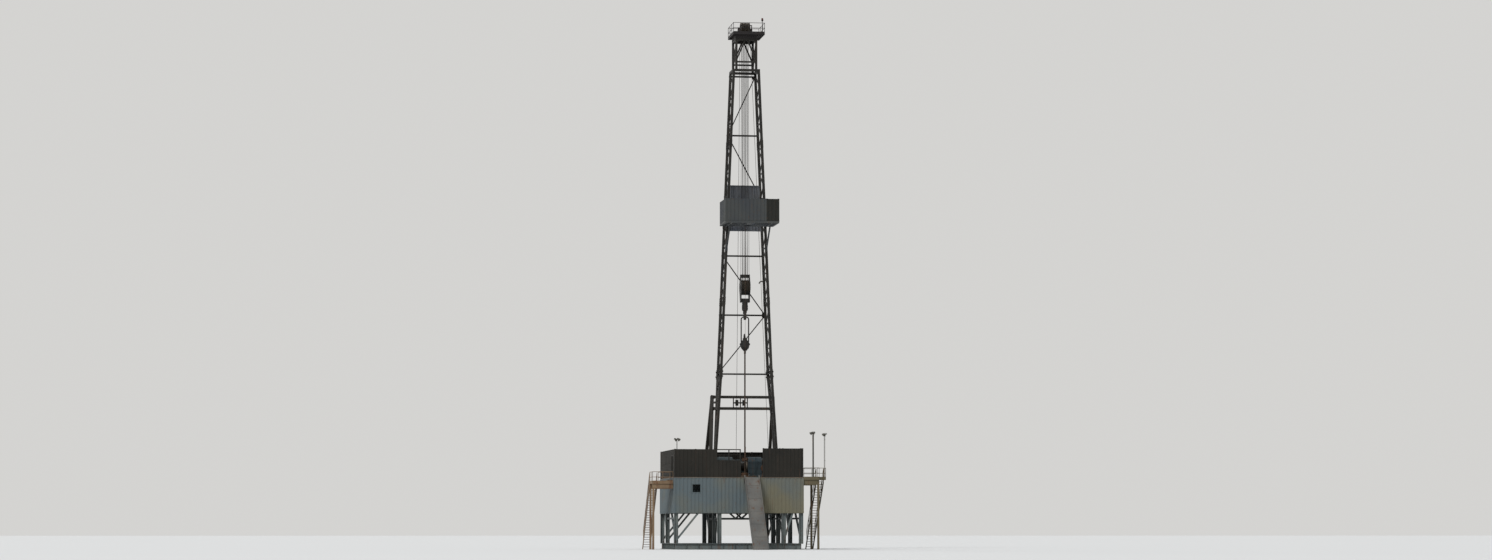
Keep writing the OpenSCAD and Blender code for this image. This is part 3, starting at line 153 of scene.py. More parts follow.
def coat(name, colour, worn, rust, runs=0.35, rough=0.6, metal=0.0, patch=0.9, drift=0.0):
    """Old paint: patches faded to the worn colour, more so to the right by the drift, and rust that runs."""
    colour, worn, rust = linear(colour), linear(worn), linear(rust)
    paint, nodes, links, shader = new_finish(name)
    place = nodes.new("ShaderNodeTexCoord").outputs["Object"]

    def cloud(scale, squeeze=(1, 1, 1), detail=4.0):
        lean = set_up(nodes.new("ShaderNodeMapping"), Scale=squeeze)
        noise = set_up(nodes.new("ShaderNodeTexNoise"), Scale=scale, Detail=detail)
        links.new(place, lean.inputs["Vector"])
        links.new(lean.outputs["Vector"], noise.inputs["Vector"])
        return noise.outputs["Fac"]

    def share(value, **limits):
        limit = set_up(nodes.new("ShaderNodeMapRange"), **limits)
        links.new(value, limit.inputs["Value"])
        return limit.outputs["Result"]

    def cover(amount, under, over):
        mix = nodes.new("ShaderNodeMix")
        mix.data_type = "RGBA"
        links.new(amount, mix.inputs["Factor"])
        for socket, value in ((mix.inputs[6], under), (mix.inputs[7], over)):
            if isinstance(value, tuple):
                socket.default_value = value
            else:
                links.new(value, socket)
        return mix.outputs[2]

    across = nodes.new("ShaderNodeSeparateXYZ")
    links.new(place, across.inputs[0])
    fading = nodes.new("ShaderNodeMath")
    fading.operation = "MULTIPLY_ADD"
    links.new(across.outputs["X"], fading.inputs[0])
    fading.inputs[1].default_value = drift
    links.new(cloud(patch), fading.inputs[2])
    faded = cover(share(fading.outputs[0], From_Min=0.38, From_Max=0.66), colour, worn)
    edge = 0.72 - 0.3 * runs
    streaks = share(cloud(1.6, (4.5, 4.5, 0.45), 6.0), From_Min=edge, From_Max=edge + 0.16)
    rusty = cover(streaks, faded, rust)
    specks = share(cloud(18.0, detail=3.0), From_Min=0.66 - 0.08 * runs, From_Max=0.74 - 0.04 * runs)
    links.new(cover(specks, rusty, rust), shader.inputs["Base Color"])
    gloss = share(cloud(3.0), To_Min=rough - 0.12, To_Max=min(1.0, rough + 0.18))
    links.new(gloss, shader.inputs["Roughness"])
    set_up(shader, Metallic=metal, Specular_IOR_Level=0.28)
    relief = set_up(nodes.new("ShaderNodeBump"), Strength=0.25, Distance=0.004)
    links.new(cloud(60.0), relief.inputs["Height"])
    links.new(relief.outputs["Normal"], shader.inputs["Normal"])
    return paint


def finish_node(paint, *nodes):
    """Puts a finish on CAD nodes that keep their own shape."""
    for name in nodes:
        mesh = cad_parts[name].data
        mesh.materials.clear()
        mesh.materials.append(paint)


def astride(middle, half):
    """The two places at the same distance from a middle."""
    return middle - half, middle + half


def slab(bm, low, high):
    """Straight-edged plate or block between two corners."""
    low, high = Vector(low), Vector(high)
    size = [abs(h - l) for l, h in zip(low, high)]
    place = Matrix.Translation((low + high) / 2) @ Matrix.Diagonal((*size, 1))
    bmesh.ops.create_cube(bm, size=1.0, matrix=place)


def pad(bm, x, y, base, half, height):
    """Plate or block centred on a place in plan, from a level up or down by its height."""
    slab(bm, (x - half[0], y - half[1], base), (x + half[0], y + half[1], base + height))


def along(start, end):
    """Lays local Z from start to end, with the middle halfway and local Y as upright as it can be."""
    start, end = Vector(start), Vector(end)
    turn = (end - start).to_track_quat("Z", "Y").to_matrix().to_4x4()
    return Matrix.Translation((start + end) / 2) @ turn, (end - start).length


def pipe(bm, start, end, radius, sides=10, tip=None):
    """Round bar, pipe or pin between two points, smooth round its side."""
    lay, length = along(start, end)
    made = bmesh.ops.create_cone(bm, cap_ends=True, segments=sides, radius1=radius,
                                 radius2=radius if tip is None else tip, depth=length, matrix=lay)
    if sides > 6:
        faces = {f for v in made["verts"] for f in v.link_faces}
        for face in faces:
            face.smooth = len(face.verts) == 4
        for rim in {e for f in faces if len(f.verts) > 4 for e in f.edges}:
            rim.smooth = False


def boss(bm, at, way, radius, height, sides=10):
    """Round boss, collar or post that stands out from a place, the given way."""
    at = Vector(at)
    pipe(bm, at, at + Vector(way) * height, radius, sides)


def bolt(bm, at, way, radius=0.012, height=0.012):
    """Hexagon head standing on a plate."""
    boss(bm, at, way, radius, height, 6)


def bolts(bm, x, y, z, way, radius, height):
    """Hexagon heads at every crossing of one or more places along each axis."""
    rows = [places if isinstance(places, (tuple, list)) else (places,) for places in (x, y, z)]
    for at in itertools.product(*rows):
        bolt(bm, at, way, radius, height)


def gusset(bm, outline, thickness):
    """Flat plate of any outline, centred on the plane of its points."""
    points = [Vector(p) for p in outline]
    normal = (points[1] - points[0]).cross(points[2] - points[0]).normalized() * thickness / 2
    near = [bm.verts.new(p - normal) for p in points]
    beyond = [bm.verts.new(p + normal) for p in points]
    bm.faces.new(near)
    bm.faces.new(beyond[::-1])
    for k in range(len(points)):
        after = (k + 1) % len(points)
        bm.faces.new((near[k], near[after], beyond[after], beyond[k]))


def add_piece(name, bm, paint, body="root", instead=()):
    """Turns a finished mesh into a piece of the rig that rides on a body, if one is named."""
    bmesh.ops.recalc_face_normals(bm, faces=bm.faces)
    mesh = bpy.data.meshes.new(name)
    bm.to_mesh(mesh)
    bm.free()
    mesh.materials.append(paint)
    made = bpy.data.objects.new(name, mesh)
    bpy.context.collection.objects.link(made)
    if body:
        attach(made, body)
    if instead:
        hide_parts(*instead)
    return made


skid_low, skid_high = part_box("base_frame")
beams_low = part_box("floor_beams")[0]
floor_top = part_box("drill_floor")[1][2]
beam_half = 0.1
joint_half, joint_reach, joint_plate, joint_web = 0.095, 0.16, 0.018, 0.17
joint_bolt = (0.015, 0.016)
stiffener_step, stiffener_height = 0.61, 0.268
skid_coat = coat("skid_coat", (88, 96, 97), (104, 110, 106), (92, 66, 48), runs=0.5)
finish_node(skid_coat, "base_frame", "sub_left", "sub_right", "sub_bracing", "floor_beams")

column_x = [skid_low[0] + beam_half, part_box("sub_left")[1][0] - beam_half,
            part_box("sub_right")[0][0] + beam_half, skid_high[0] - beam_half]
column_y = [skid_low[1] + beam_half, 1.2, skid_high[1] - beam_half]
fittings = bmesh.new()
for x, y, side in itertools.product(column_x, column_y, (-1, 1)):
    face = y + side * beam_half
    reach = face + side * joint_reach
    if not skid_low[1] <= reach <= skid_high[1]:
        continue
    for foot, up in ((skid_high[2], 1), (beams_low[2], -1)):
        plate = foot + up * joint_plate
        slab(fittings, (x - joint_half, face, foot), (x + joint_half, reach, plate))
        web = [(x, face, plate), (x, reach - side * 0.02, plate), (x, face, foot + up * joint_web)]
        gusset(fittings, web, 0.014)
        bolts(fittings, astride(x, 0.06), reach - side * 0.05, plate, (0, 0, up), *joint_bolt)
for base in (skid_low[2] + 0.016, beams_low[2] + 0.016):
    head = base + stiffener_height
    for k in range(1, int((skid_high[1] - skid_low[1]) / stiffener_step) + 1):
        y = skid_low[1] + k * stiffener_step
        for side, x in ((-1, skid_low[0]), (1, skid_high[0])):
            slab(fittings, (x - side * 0.008, y - 0.006, base), (x - side * 0.093, y + 0.006, head))
    for k in range(1, int((skid_high[0] - skid_low[0]) / stiffener_step) + 1):
        x = skid_low[0] + k * stiffener_step
        for side, y in ((-1, skid_low[1]), (1, skid_high[1])):
            slab(fittings, (x - 0.006, y - side * 0.008, base), (x + 0.006, y - side * 0.093, head))
for x in (column_x[0], column_x[3]):
    for y in (skid_low[1] + 0.5, skid_high[1] - 0.5):
        pad(fittings, x, y, skid_high[2], (0.015, 0.09), 0.13)
        boss(fittings, (x - 0.03, y, skid_high[2] + 0.1), (1, 0, 0), 0.06, 0.06, 18)
add_piece("column_joints", fittings, skid_coat)

# Trapezoid-ribbed steel sheets close the upper half of the substructure on all sides. They are screwed
# to angles on the columns, and their pale coat has chalked to blue-grey and warm grey patches.
upward = Vector((0, 0, 1))
sheet_screw = (0.009, 0.006)


def corner_angle(bm, at, way, low, high, leg=0.05, gauge=0.004):
    """Upright angle outside a corner in plan, its legs running the given way along X and Y."""
    (x, y), (to_x, to_y) = at, way
    slab(bm, (x - to_x * gauge, y - to_y * gauge, low), (x + to_x * leg, y, high))
    slab(bm, (x - to_x * gauge, y, low), (x, y + to_y * leg, high))


def wall_line(start, end):
    """Start of a wall's line in plan, its length, its way ahead and the way in, to its left."""
    start, end = Vector((*start, 0)), Vector((*end, 0))
    ahead = (end - start).normalized()
    return start, (end - start).length, ahead, Vector((-ahead.y, ahead.x, 0))


def ribbed(bm, start, end, low, high, holes=(), rows=(), depth=0.018, pitch=0.19, gauge=0.0025):
    """Upright sheet from start to end in plan, lying to the left of that line, screwed along some rows."""
    start, length, ahead, inward = wall_line(start, end)
    bends = ((0.0, 0.0), (0.38, 0.0), (0.5, 1.0), (0.88, 1.0), (1.0, 0.0))

    def sink(u):
        share = (u / pitch) % 1.0
        for (a, fa), (b, fb) in zip(bends, bends[1:]):
            if share <= b:
                return depth * (fa + (fb - fa) * (share - a) / (b - a))
        return 0.0

    stops = {0.0, length}
    if depth:
        stops.update(pitch * (k + b) for k in range(int(length / pitch) + 1) for b, _ in bends)
    stops.update(u for hole in holes for u in hole[:2])
    stops = sorted(u for u in stops if 0 <= u <= length)
    stops = [u for u, before in zip(stops, [-1.0] + stops) if u - before > 0.0005]
    levels = sorted({low, high, *(z for hole in holes for z in hole[2:] if low < z < high)})
    grid = [[bm.verts.new(start + ahead * u + inward * sink(u) + upward * z) for z in levels] for u in stops]
    faces = []
    for i, j in itertools.product(range(len(stops) - 1), range(len(levels) - 1)):
        u, z = (stops[i] + stops[i + 1]) / 2, (levels[j] + levels[j + 1]) / 2
        if not any(h[0] < u < h[1] and h[2] < z < h[3] for h in holes):
            faces.append(bm.faces.new((grid[i][j], grid[i + 1][j], grid[i + 1][j + 1], grid[i][j + 1])))
    bmesh.ops.delete(bm, geom=[v for column in grid for v in column if not v.link_faces])
    bmesh.ops.solidify(bm, geom=faces, thickness=gauge)
    for z, k in itertools.product(rows, range(int(length / pitch))):
        u = (k + 0.19) * pitch
        if not any(h[0] - 0.02 < u < h[1] + 0.02 and h[2] - 0.02 < z < h[3] + 0.02 for h in holes):
            bolt(bm, start + ahead * u + upward * z, -inward, *sheet_screw)


clad_low, clad_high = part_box("cladding")
sheet_foot, sheet_head = clad_low[2], clad_high[2]
left, right = clad_low[0] + 0.02, clad_high[0] - 0.02
front, rear = clad_low[1] + 0.02, clad_high[1] - 0.02
side_sheet_end = 1.1
notch_half, edge_bar = 0.4, 0.02
hatch_left, hatch_right, hatch_foot, hatch_head = left + 0.885, left + 1.335, 2.82, 3.27
hatch_bar, hatch_face = 0.03, clad_low[1] - 0.006
clad_coat = coat("clad_coat", (84, 94, 97), (104, 100, 82), (88, 70, 54), runs=0.3, patch=0.45, drift=0.045)
screw_rows = (sheet_foot + 0.06, (sheet_foot + sheet_head) / 2, sheet_head - 0.06)
front_holes = [(hatch_left - left, hatch_right - left, hatch_foot, hatch_head),
               (-left - notch_half, -left + notch_half, hatch_head, sheet_head)]
outriggers = [(right - x - 0.11, right - x + 0.01, floor_top - 0.16, sheet_head) for x in (2.0, 2.4)]
cladding = bmesh.new()
for start, end, holes in (((left, clad_low[1]), (right, clad_low[1]), front_holes),
                          ((right, clad_high[1]), (left, clad_high[1]), outriggers),
                          ((clad_low[0], rear), (clad_low[0], front), ()),
                          ((clad_high[0], front), (clad_high[0], side_sheet_end), ())):
    ribbed(cladding, start, end, sheet_foot, sheet_head, holes, screw_rows)
for x, to_x in ((clad_low[0], 1), (clad_high[0], -1)):
    for y, to_y in ((clad_low[1], 1), (clad_high[1], -1)):
        corner_angle(cladding, (x, y), (to_x, to_y), sheet_foot - 0.01, sheet_head, 0.06, 0.005)
for z in (sheet_foot - 0.012, sheet_head - edge_bar):
    top = z + edge_bar
    edges = ((left, -notch_half - 0.02), (notch_half + 0.02, right)) if z > sheet_foot else ((left, right),)
    for a, b in edges:
        slab(cladding, (a, clad_low[1] - 0.004, z), (b, clad_low[1] + 0.002, top))
    slab(cladding, (left, clad_high[1] - 0.002, z), (right, clad_high[1] + 0.004, top))
    slab(cladding, (clad_low[0] - 0.004, front, z), (clad_low[0] + 0.002, rear, top))
    slab(cladding, (clad_high[0] - 0.002, front, z), (clad_high[0] + 0.004, side_sheet_end, top))
for x in (hatch_left, hatch_right - hatch_bar):
    slab(cladding, (x, hatch_face, hatch_foot + hatch_bar), (x + hatch_bar, front, hatch_head - hatch_bar))
for z in (hatch_foot, hatch_head - hatch_bar):
    slab(cladding, (hatch_left, hatch_face, z), (hatch_right, front, z + hatch_bar))
add_piece("ribbed_cladding", cladding, clad_coat, instead=["cladding"])

# The floor is raised-lozenge plate, brown with mud and rust, welded down over the beams. It stays bare
# between the walls, and is cut out only for the rotary.
def ridges(paint, pitch, height, leans=((0, 0, 45), (0, 0, -45))):
    """Adds raised rows to a finish, by default the crossed pattern of tread plate."""
    nodes, links = paint.node_tree.nodes, paint.node_tree.links
    place = nodes.new("ShaderNodeTexCoord").outputs["Object"]
    normal = nodes["Principled BSDF"].inputs["Normal"]
    both = nodes.new("ShaderNodeMath")
    both.operation = "MULTIPLY"
    for k, turn in enumerate(leans):
        lean = set_up(nodes.new("ShaderNodeMapping"), Rotation=[math.radians(a) for a in turn])
        wave = set_up(nodes.new("ShaderNodeTexWave"), Scale=0.314 / pitch)
        links.new(place, lean.inputs["Vector"])
        links.new(lean.outputs["Vector"], wave.inputs["Vector"])
        links.new(wave.outputs["Fac"], both.inputs[k])
    raised = set_up(nodes.new("ShaderNodeBump"), Strength=0.7, Distance=height)
    links.new(both.outputs[0], raised.inputs["Height"])
    links.new(normal.links[0].from_socket, raised.inputs["Normal"])
    links.new(raised.outputs["Normal"], normal)
    return paint


tread_pitch, tread_rise = 0.05, 0.003
deck_coat = coat("deck_coat", (88, 74, 62), (112, 98, 82), (92, 60, 40), runs=0.5, rough=0.7)
finish_node(ridges(deck_coat, tread_pitch, tread_rise), "drill_floor")

# The wind walls round the floor are dark ribbed sheets on square posts with a top and a middle rail. Two
# walk-through doorways have angle frames, and the pipe door stays open at the front.
post = 0.06
doorway, doorway_head, jamb = 0.48, 1.05, 0.045
wall_low_h = 0.85
tall_end, door_half = -1.75, 0.55


def spread(first, last, count):
    """Places in equal steps from the first to the last."""
    return [first + (last - first) * k / count for k in range(count + 1)]


def wall_block(bm, start, end, u, v, z):
    """Block placed by its run along a wall's line in plan, its depth to the left of it and its heights."""
    start, _, ahead, inward = wall_line(start, end)
    slab(bm, *(start + ahead * u[k] + inward * v[k] + upward * z[k] for k in (0, 1)))


def wind_wall(bm, start, end, height, doors=(), base=floor_top):
    """Ribbed wall standing on a floor from start to end in plan, with its posts on the left of that line."""
    length = math.dist(start, end)

    def box_at(u, v, z):
        wall_block(bm, start, end, u, v, (base + z[0], base + z[1]))

    holes = [(u, u + doorway, base - 0.01, base + doorway_head) for u in doors]
    ribbed(bm, start, end, base + 0.012, base + height - 0.01, holes,
           (base + 0.07, base + height / 2, base + height - 0.05))
    clear = [(u - post, u + doorway + post) for u in doors]
    for u in spread(0.004, length - post - 0.004, max(1, round(length))):
        if not any(a < u + post / 2 < b for a, b in clear):
            box_at((u, u + post), (0.021, 0.02 + post), (0, height))
            box_at((u - 0.004, u + post + 0.004), (0.02, 0.024 + post), (height, height + 0.006))
            box_at((u - 0.03, u + post + 0.03), (0.02, 0.06 + post), (0, 0.01))
    for z in (0.0, height * 0.5, height - post):
        edges = [0.005, *(e for pair in clear if z < doorway_head for e in pair), length - 0.005]
        for a, b in zip(edges[::2], edges[1::2]):
            box_at((a, b), (0.022, 0.018 + post), (z + 0.003, z + post - 0.006))
    for u in doors:
        for a in (u - jamb, u + doorway):
            box_at((a, a + jamb), (-0.004, 0.085), (0, doorway_head))
        box_at((u - jamb, u + doorway + jamb), (-0.004, 0.085), (doorway_head, doorway_head + jamb))


wall_left_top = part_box("windwall_left")[1][2]
wall_right_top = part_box("windwall_right")[1][2]
wall_left_h, wall_right_h = wall_left_top - floor_top, wall_right_top - floor_top
wind_coat = coat("wind_coat", (24, 23, 18), (34, 31, 25), (56, 40, 30), runs=0.35, patch=0.7)
walls = bmesh.new()
wind_wall(walls, (left, front), (tall_end, front), wall_left_h)
wind_wall(walls, (tall_end, front), (-door_half, front), wall_low_h)
wind_wall(walls, (door_half, front), (right, front), wall_right_h)
for x in ((tall_end - door_half) / 2, -door_half - 0.03):
    slab(walls, (x - 0.025, front + 0.02, floor_top + wall_low_h), (x + 0.025, front + 0.07, wall_left_top))
slab(walls, (tall_end, front + 0.022, wall_left_top - 0.05), (-door_half, front + 0.068, wall_left_top))
guard_z = floor_top + 1.12
pipe(walls, (tall_end, front + 0.045, guard_z), (-door_half - 0.03, front + 0.045, guard_z), 0.014)
corner_angle(walls, (left, front), (1, 1), floor_top, wall_left_top)
corner_angle(walls, (right, front), (-1, 1), floor_top, wall_right_top)
add_piece("front_wind_wall", walls, wind_coat, instead=["windwall_front"])
walls = bmesh.new()
side_start, side_end = (corner[1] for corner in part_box("windwall_left"))
wind_wall(walls, (left, side_end), (left, side_start), wall_left_h, [side_end - side_start - 1.1])
add_piece("left_wind_wall", walls, wind_coat, instead=["windwall_left"])
walls = bmesh.new()
wind_wall(walls, (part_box("windwall_back")[1][0], rear), (left, rear), wall_left_h)
corner_angle(walls, (left, rear), (1, -1), floor_top, wall_left_top)
add_piece("rear_wind_wall", walls, wind_coat, instead=["windwall_back"])
house_coat = coat("house_coat", (31, 32, 29), (41, 41, 37), (58, 43, 33), runs=0.3, patch=0.8)
walls = bmesh.new()
side_start, side_end = (corner[1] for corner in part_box("windwall_right"))
wind_wall(walls, (right, side_start), (right, side_end), wall_right_h, [0.65])
add_piece("right_wind_wall", walls, house_coat, instead=["windwall_right"])

# The pipe ramp is a steel slide on three beams. Pipe dragged up it has polished the plate in long
# scrapes, and runner strips and cross bars are welded on it.
def bar(bm, start, end, width, depth=None):
    """Straight flat or square bar between two points."""
    lay, length = along(start, end)
    bmesh.ops.create_cube(bm, size=1.0, matrix=lay @ Matrix.Diagonal((width, depth or width, length, 1)))


ramp_low, ramp_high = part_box("vdoor_ramp")
ramp_coat = coat("ramp_coat", (92, 92, 90), (112, 110, 105), (94, 70, 54), runs=0.45, rough=0.5, metal=0.35)
finish_node(ramp_coat, "vdoor_ramp")
slope_top = Vector((0, front, floor_top))
slope_foot = Vector((0, ramp_low[1], 0.06))
slope = (slope_foot - slope_top).normalized()
off_plate = Vector((0, slope.z, -slope.y)) * 0.004
half_bar = Vector((ramp_high[0] - 0.04, 0, 0))
ramp_bars = bmesh.new()
for share in (0.12, 0.3, 0.48, 0.66, 0.84):
    at = slope_top.lerp(slope_foot, share) + off_plate
    pipe(ramp_bars, at - half_bar, at + half_bar, 0.009, 8)
for x in (-0.2, 0.0, 0.2):
    aside = Vector((x, 0, 0))
    bar(ramp_bars, slope_top + slope * 0.1 + aside, slope_foot - slope * 0.15 + aside, 0.05, 0.012)
add_piece("ramp_bars", ramp_bars, ramp_coat)

# Landings beside the floor are frames of channel with bar grating. Their hand rails are bent pipe with a
# knee rail and a toe plate, and the stairs have channel strings with grating treads.
rail_height, rail_pipe = 0.55, 0.0125


def grating(bm, low, high, top, depth=0.025, pitch=0.034):
    """Bar grating between two corners in plan, its cross rods a little under its top."""
    for y in spread(low[1], high[1], round((high[1] - low[1]) / pitch)):
        slab(bm, (low[0], y - 0.0015, top - depth), (high[0], y + 0.0015, top))
    for x in spread(low[0], high[0], max(2, round((high[0] - low[0]) / 0.1))):
        slab(bm, (x - 0.003, low[1], top - 0.007), (x + 0.003, high[1], top - 0.001))


def edging(bm, low, high, gauge, foot, head, outside=0.0):
    """Flat bars on edge round a rectangle in plan, standing outside it by some of their gauge."""
    for x in (low[0] - outside, high[0] + outside - gauge):
        slab(bm, (x, low[1], foot), (x + gauge, high[1], head))
    inside = gauge - outside
    for y in (low[1] - outside, high[1] + outside - gauge):
        slab(bm, (low[0] + inside, y, foot), (high[0] - inside, y + gauge, head))


def deck(bm, low, high, level, left_gap=0.01):
    """Landing of bar grating within flat edge bars, with no gap on the left where it meets another."""
    grating(bm, (low[0] + left_gap, low[1] + 0.01), (high[0] - 0.01, high[1] - 0.01), level)
    edging(bm, low, high, 0.012, level - 0.06, level + 0.004)


def rail(bm, start, end):
    """Rail pipe with a rounded knuckle at each end."""
    pipe(bm, start, end, rail_pipe, 8)
    for at in (start, end):
        bmesh.ops.create_uvsphere(bm, u_segments=8, v_segments=6, radius=rail_pipe * 1.04,
                                  matrix=Matrix.Translation(at))


def railing(bm, level, corners):
    """Pipe rail with posts, a knee rail and a toe plate along corners in plan, on a deck's level."""
    for start, end in itertools.pairwise(Vector((*corner, level)) for corner in corners):
        for share in spread(0.0, 1.0, max(1, round((end - start).length / 0.65))):
            boss(bm, start.lerp(end, share), upward, rail_pipe, rail_height - rail_pipe, 8)
        for lift in (rail_height / 2, rail_height - rail_pipe):
            rail(bm, start + upward * lift, end + upward * lift)
        bar(bm, start + upward * 0.05, end + upward * 0.05, 0.004, 0.09)


def i_beam(bm, start, end, depth, width, web=0.008, flange=0.012):
    """Rolled beam with its web upright."""
    lay, length = along(start, end)
    out = (depth - flange) / 2
    for offset, size in ((0, (web, depth - 2 * flange)), (out, (width, flange)), (-out, (width, flange))):
        bmesh.ops.create_cube(bm, size=1.0, matrix=lay @ Matrix.Translation((0, offset, 0))
                              @ Matrix.Diagonal((*size, length, 1)))


landing_coat = coat("landing_coat", (80, 74, 56), (96, 88, 68), (86, 58, 40), runs=0.5)
side_low, side_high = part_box("landing_right")
stair_low, stair_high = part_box("stair_right")
land_z = side_high[2] - rail_height
x0, x1, x2 = side_low[0], stair_low[0] - 0.02, side_high[0]
y0, y1, stair_head = side_low[1], side_high[1], stair_low[1]
stub_start = stair_head - 0.6
rail_x0, rail_x1, rail_x2 = x0 + rail_pipe, x1 - rail_pipe, x2 - rail_pipe
rail_y0, rail_y1 = y0 + rail_pipe, y1 - rail_pipe
leg_x = x1 - 0.05
landing = bmesh.new()
deck(landing, (x0, y0), (x1, y1), land_z)
deck(landing, (x1, stub_start), (x2, stair_head), land_z, left_gap=0.0)
for y in (y0 + 0.06, (y0 + y1) / 2, y1 - 0.06):
    i_beam(landing, (x0, y, land_z - 0.17), (x1, y, land_z - 0.17), 0.29, 0.11)
i_beam(landing, (leg_x, y0 + 0.02, land_z - 0.112), (leg_x, y1 - 0.02, land_z - 0.112), 0.175, 0.1)
for y in (y0 + 0.06, y1 - 0.06):
    i_beam(landing, (leg_x, y, 0.012), (leg_x, y, land_z - 0.2), 0.1, 0.1)
    pad(landing, leg_x, y, 0, (0.05, 0.05), 0.012)
railing(landing, land_z, [(rail_x0, rail_y0), (rail_x1, rail_y0), (rail_x1, stub_start)])
railing(landing, land_z, [(rail_x1, stub_start + rail_pipe), (rail_x2, stub_start + rail_pipe),
                          (rail_x2, stair_head - rail_pipe)])
railing(landing, land_z, [(rail_x1, stair_head + 0.06), (rail_x1, rail_y1), (rail_x0, rail_y1)])
add_piece("right_landing", landing, landing_coat, instead=["landing_right"])


def flight(bm, x_a, x_b, head, top, steps=26, tread=0.12, string_depth=0.22):
    """Stair from its top edge down to the ground at 45 degrees."""
    for x, outer in ((x_a + 0.015, x_a + 0.004), (x_b - 0.015, x_b - 0.004)):
        gusset(bm, [(outer, head, top), (outer, head, top - string_depth),
                    (outer, head + top - string_depth, 0), (outer, head + top, 0)], 0.007)
        for drop in (0.006, string_depth - 0.006):
            bar(bm, (x, head, top - drop), (x, head + top - drop - 0.004, 0.004), 0.03, 0.009)
        for run in spread(0.06, top - 0.44, 5):
            foot = top - run - 0.06
            boss(bm, (x, head + run, foot), upward, rail_pipe, rail_height + 0.06, 8)
        for lift in (rail_height / 2, rail_height):
            rail(bm, (x, head + 0.04, top - 0.04 + lift), (x, head + top - 0.42, 0.42 + lift))
    rise = top / (steps + 1)
    for k in range(1, steps + 1):
        y, z = head + k * rise, top - k * rise
        for j in range(5):
            bearer = y - tread + j * 0.026
            slab(bm, (x_a + 0.005, bearer, z - 0.02), (x_b - 0.005, bearer + 0.003, z))
        slab(bm, (x_a + 0.005, y - 0.006, z - 0.024), (x_b - 0.005, y, z + 0.001))
        for x in spread(x_a + 0.06, x_b - 0.06, 2):
            slab(bm, (x - 0.003, y - tread, z - 0.007), (x + 0.003, y, z - 0.001))


stairs = bmesh.new()
flight(stairs, stair_low[0], stair_high[0], stair_head, land_z)
add_piece("right_stair", stairs, landing_coat, instead=["stair_right"])

rusty_coat = coat("rusty_coat", (108, 88, 68), (124, 104, 80), (96, 60, 38), runs=0.65)
side_low, side_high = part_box("landing_left")
stair_low, stair_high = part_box("stair_left")
land_z = side_high[2] - rail_height
x0, x1, y0, y1 = side_low[0], side_high[0], side_low[1], side_high[1]
rail_x0, rail_x1, rail_y0, rail_y1 = x0 + rail_pipe, x1 - rail_pipe, y0 + rail_pipe, y1 - rail_pipe
leg_x = x0 + 0.055
step_x, step_front, step_rear, step_top = x1 - 0.25, -1.9, -1.25, land_z + 0.135
landing = bmesh.new()
deck(landing, (x0, y0), (x1, y1), land_z)
for y in (y0 + 0.055, y1 - 0.055):
    i_beam(landing, (x0, y, land_z - 0.165), (x1, y, land_z - 0.165), 0.275, 0.1)
    i_beam(landing, (leg_x, y, 0.012), (leg_x, y, land_z - 0.3), 0.1, 0.1)
    pad(landing, leg_x, y, 0, (0.055, 0.055), 0.012)
slab(landing, (step_x, step_front, land_z), (step_x + 0.006, step_rear, step_top))
grating(landing, (step_x, step_front), (x1 - 0.005, step_rear), step_top)
for y in (step_front, step_rear - 0.006):
    slab(landing, (step_x, y, land_z), (x1, y + 0.006, step_top))
railing(landing, land_z, [(rail_x1, rail_y0), (rail_x0, rail_y0), (rail_x0, y1 - 0.06)])
railing(landing, land_z, [(stair_high[0] + 0.04, rail_y1), (rail_x1, rail_y1)])
add_piece("left_landing", landing, rusty_coat, instead=["landing_left"])
stairs = bmesh.new()
flight(stairs, stair_low[0], stair_high[0], stair_low[1], land_z)
add_piece("left_stair", stairs, rusty_coat, instead=["stair_left"])

# The doghouse is the crew's cabin: a steel frame with ribbed sheets outside and flat ones inside, on a skid
# that brackets carry past the floor's edge. Its windows have steel frames with a centre bar.
cabin_low, cabin_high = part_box("doghouse_walls")
pane_low, pane_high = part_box("doghouse_glass")
leaf_low, leaf_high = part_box("doghouse_door")
x0, y0, cabin_foot = cabin_low
x1, y1, cabin_head = cabin_high
window_w = 0.56
side_windows = [y0 + 1.15, y0 + 2.2]
end_window = (x0 + x1 - window_w) / 2
panes = (pane_low[2], pane_high[2])
cabin_sides = [
    ((x0, y0), (x1, y0), [(end_window - x0, end_window - x0 + window_w, *panes)]),
    ((x1, y0), (x1, y1), [(y - y0, y - y0 + window_w, *panes) for y in side_windows]),
    ((x1, y1), (x0, y1), [(x1 - end_window - window_w, x1 - end_window, *panes)]),
    ((x0, y1), (x0, y0), [(y1 - y - window_w, y1 - y, *panes) for y in side_windows]
     + [(y1 - leaf_high[1], y1 - leaf_low[1], cabin_foot - 0.01, leaf_high[2])]),
]
liner_in = 0.0375
frame_in, frame_out = 0.018, 0.012
cabin = bmesh.new()
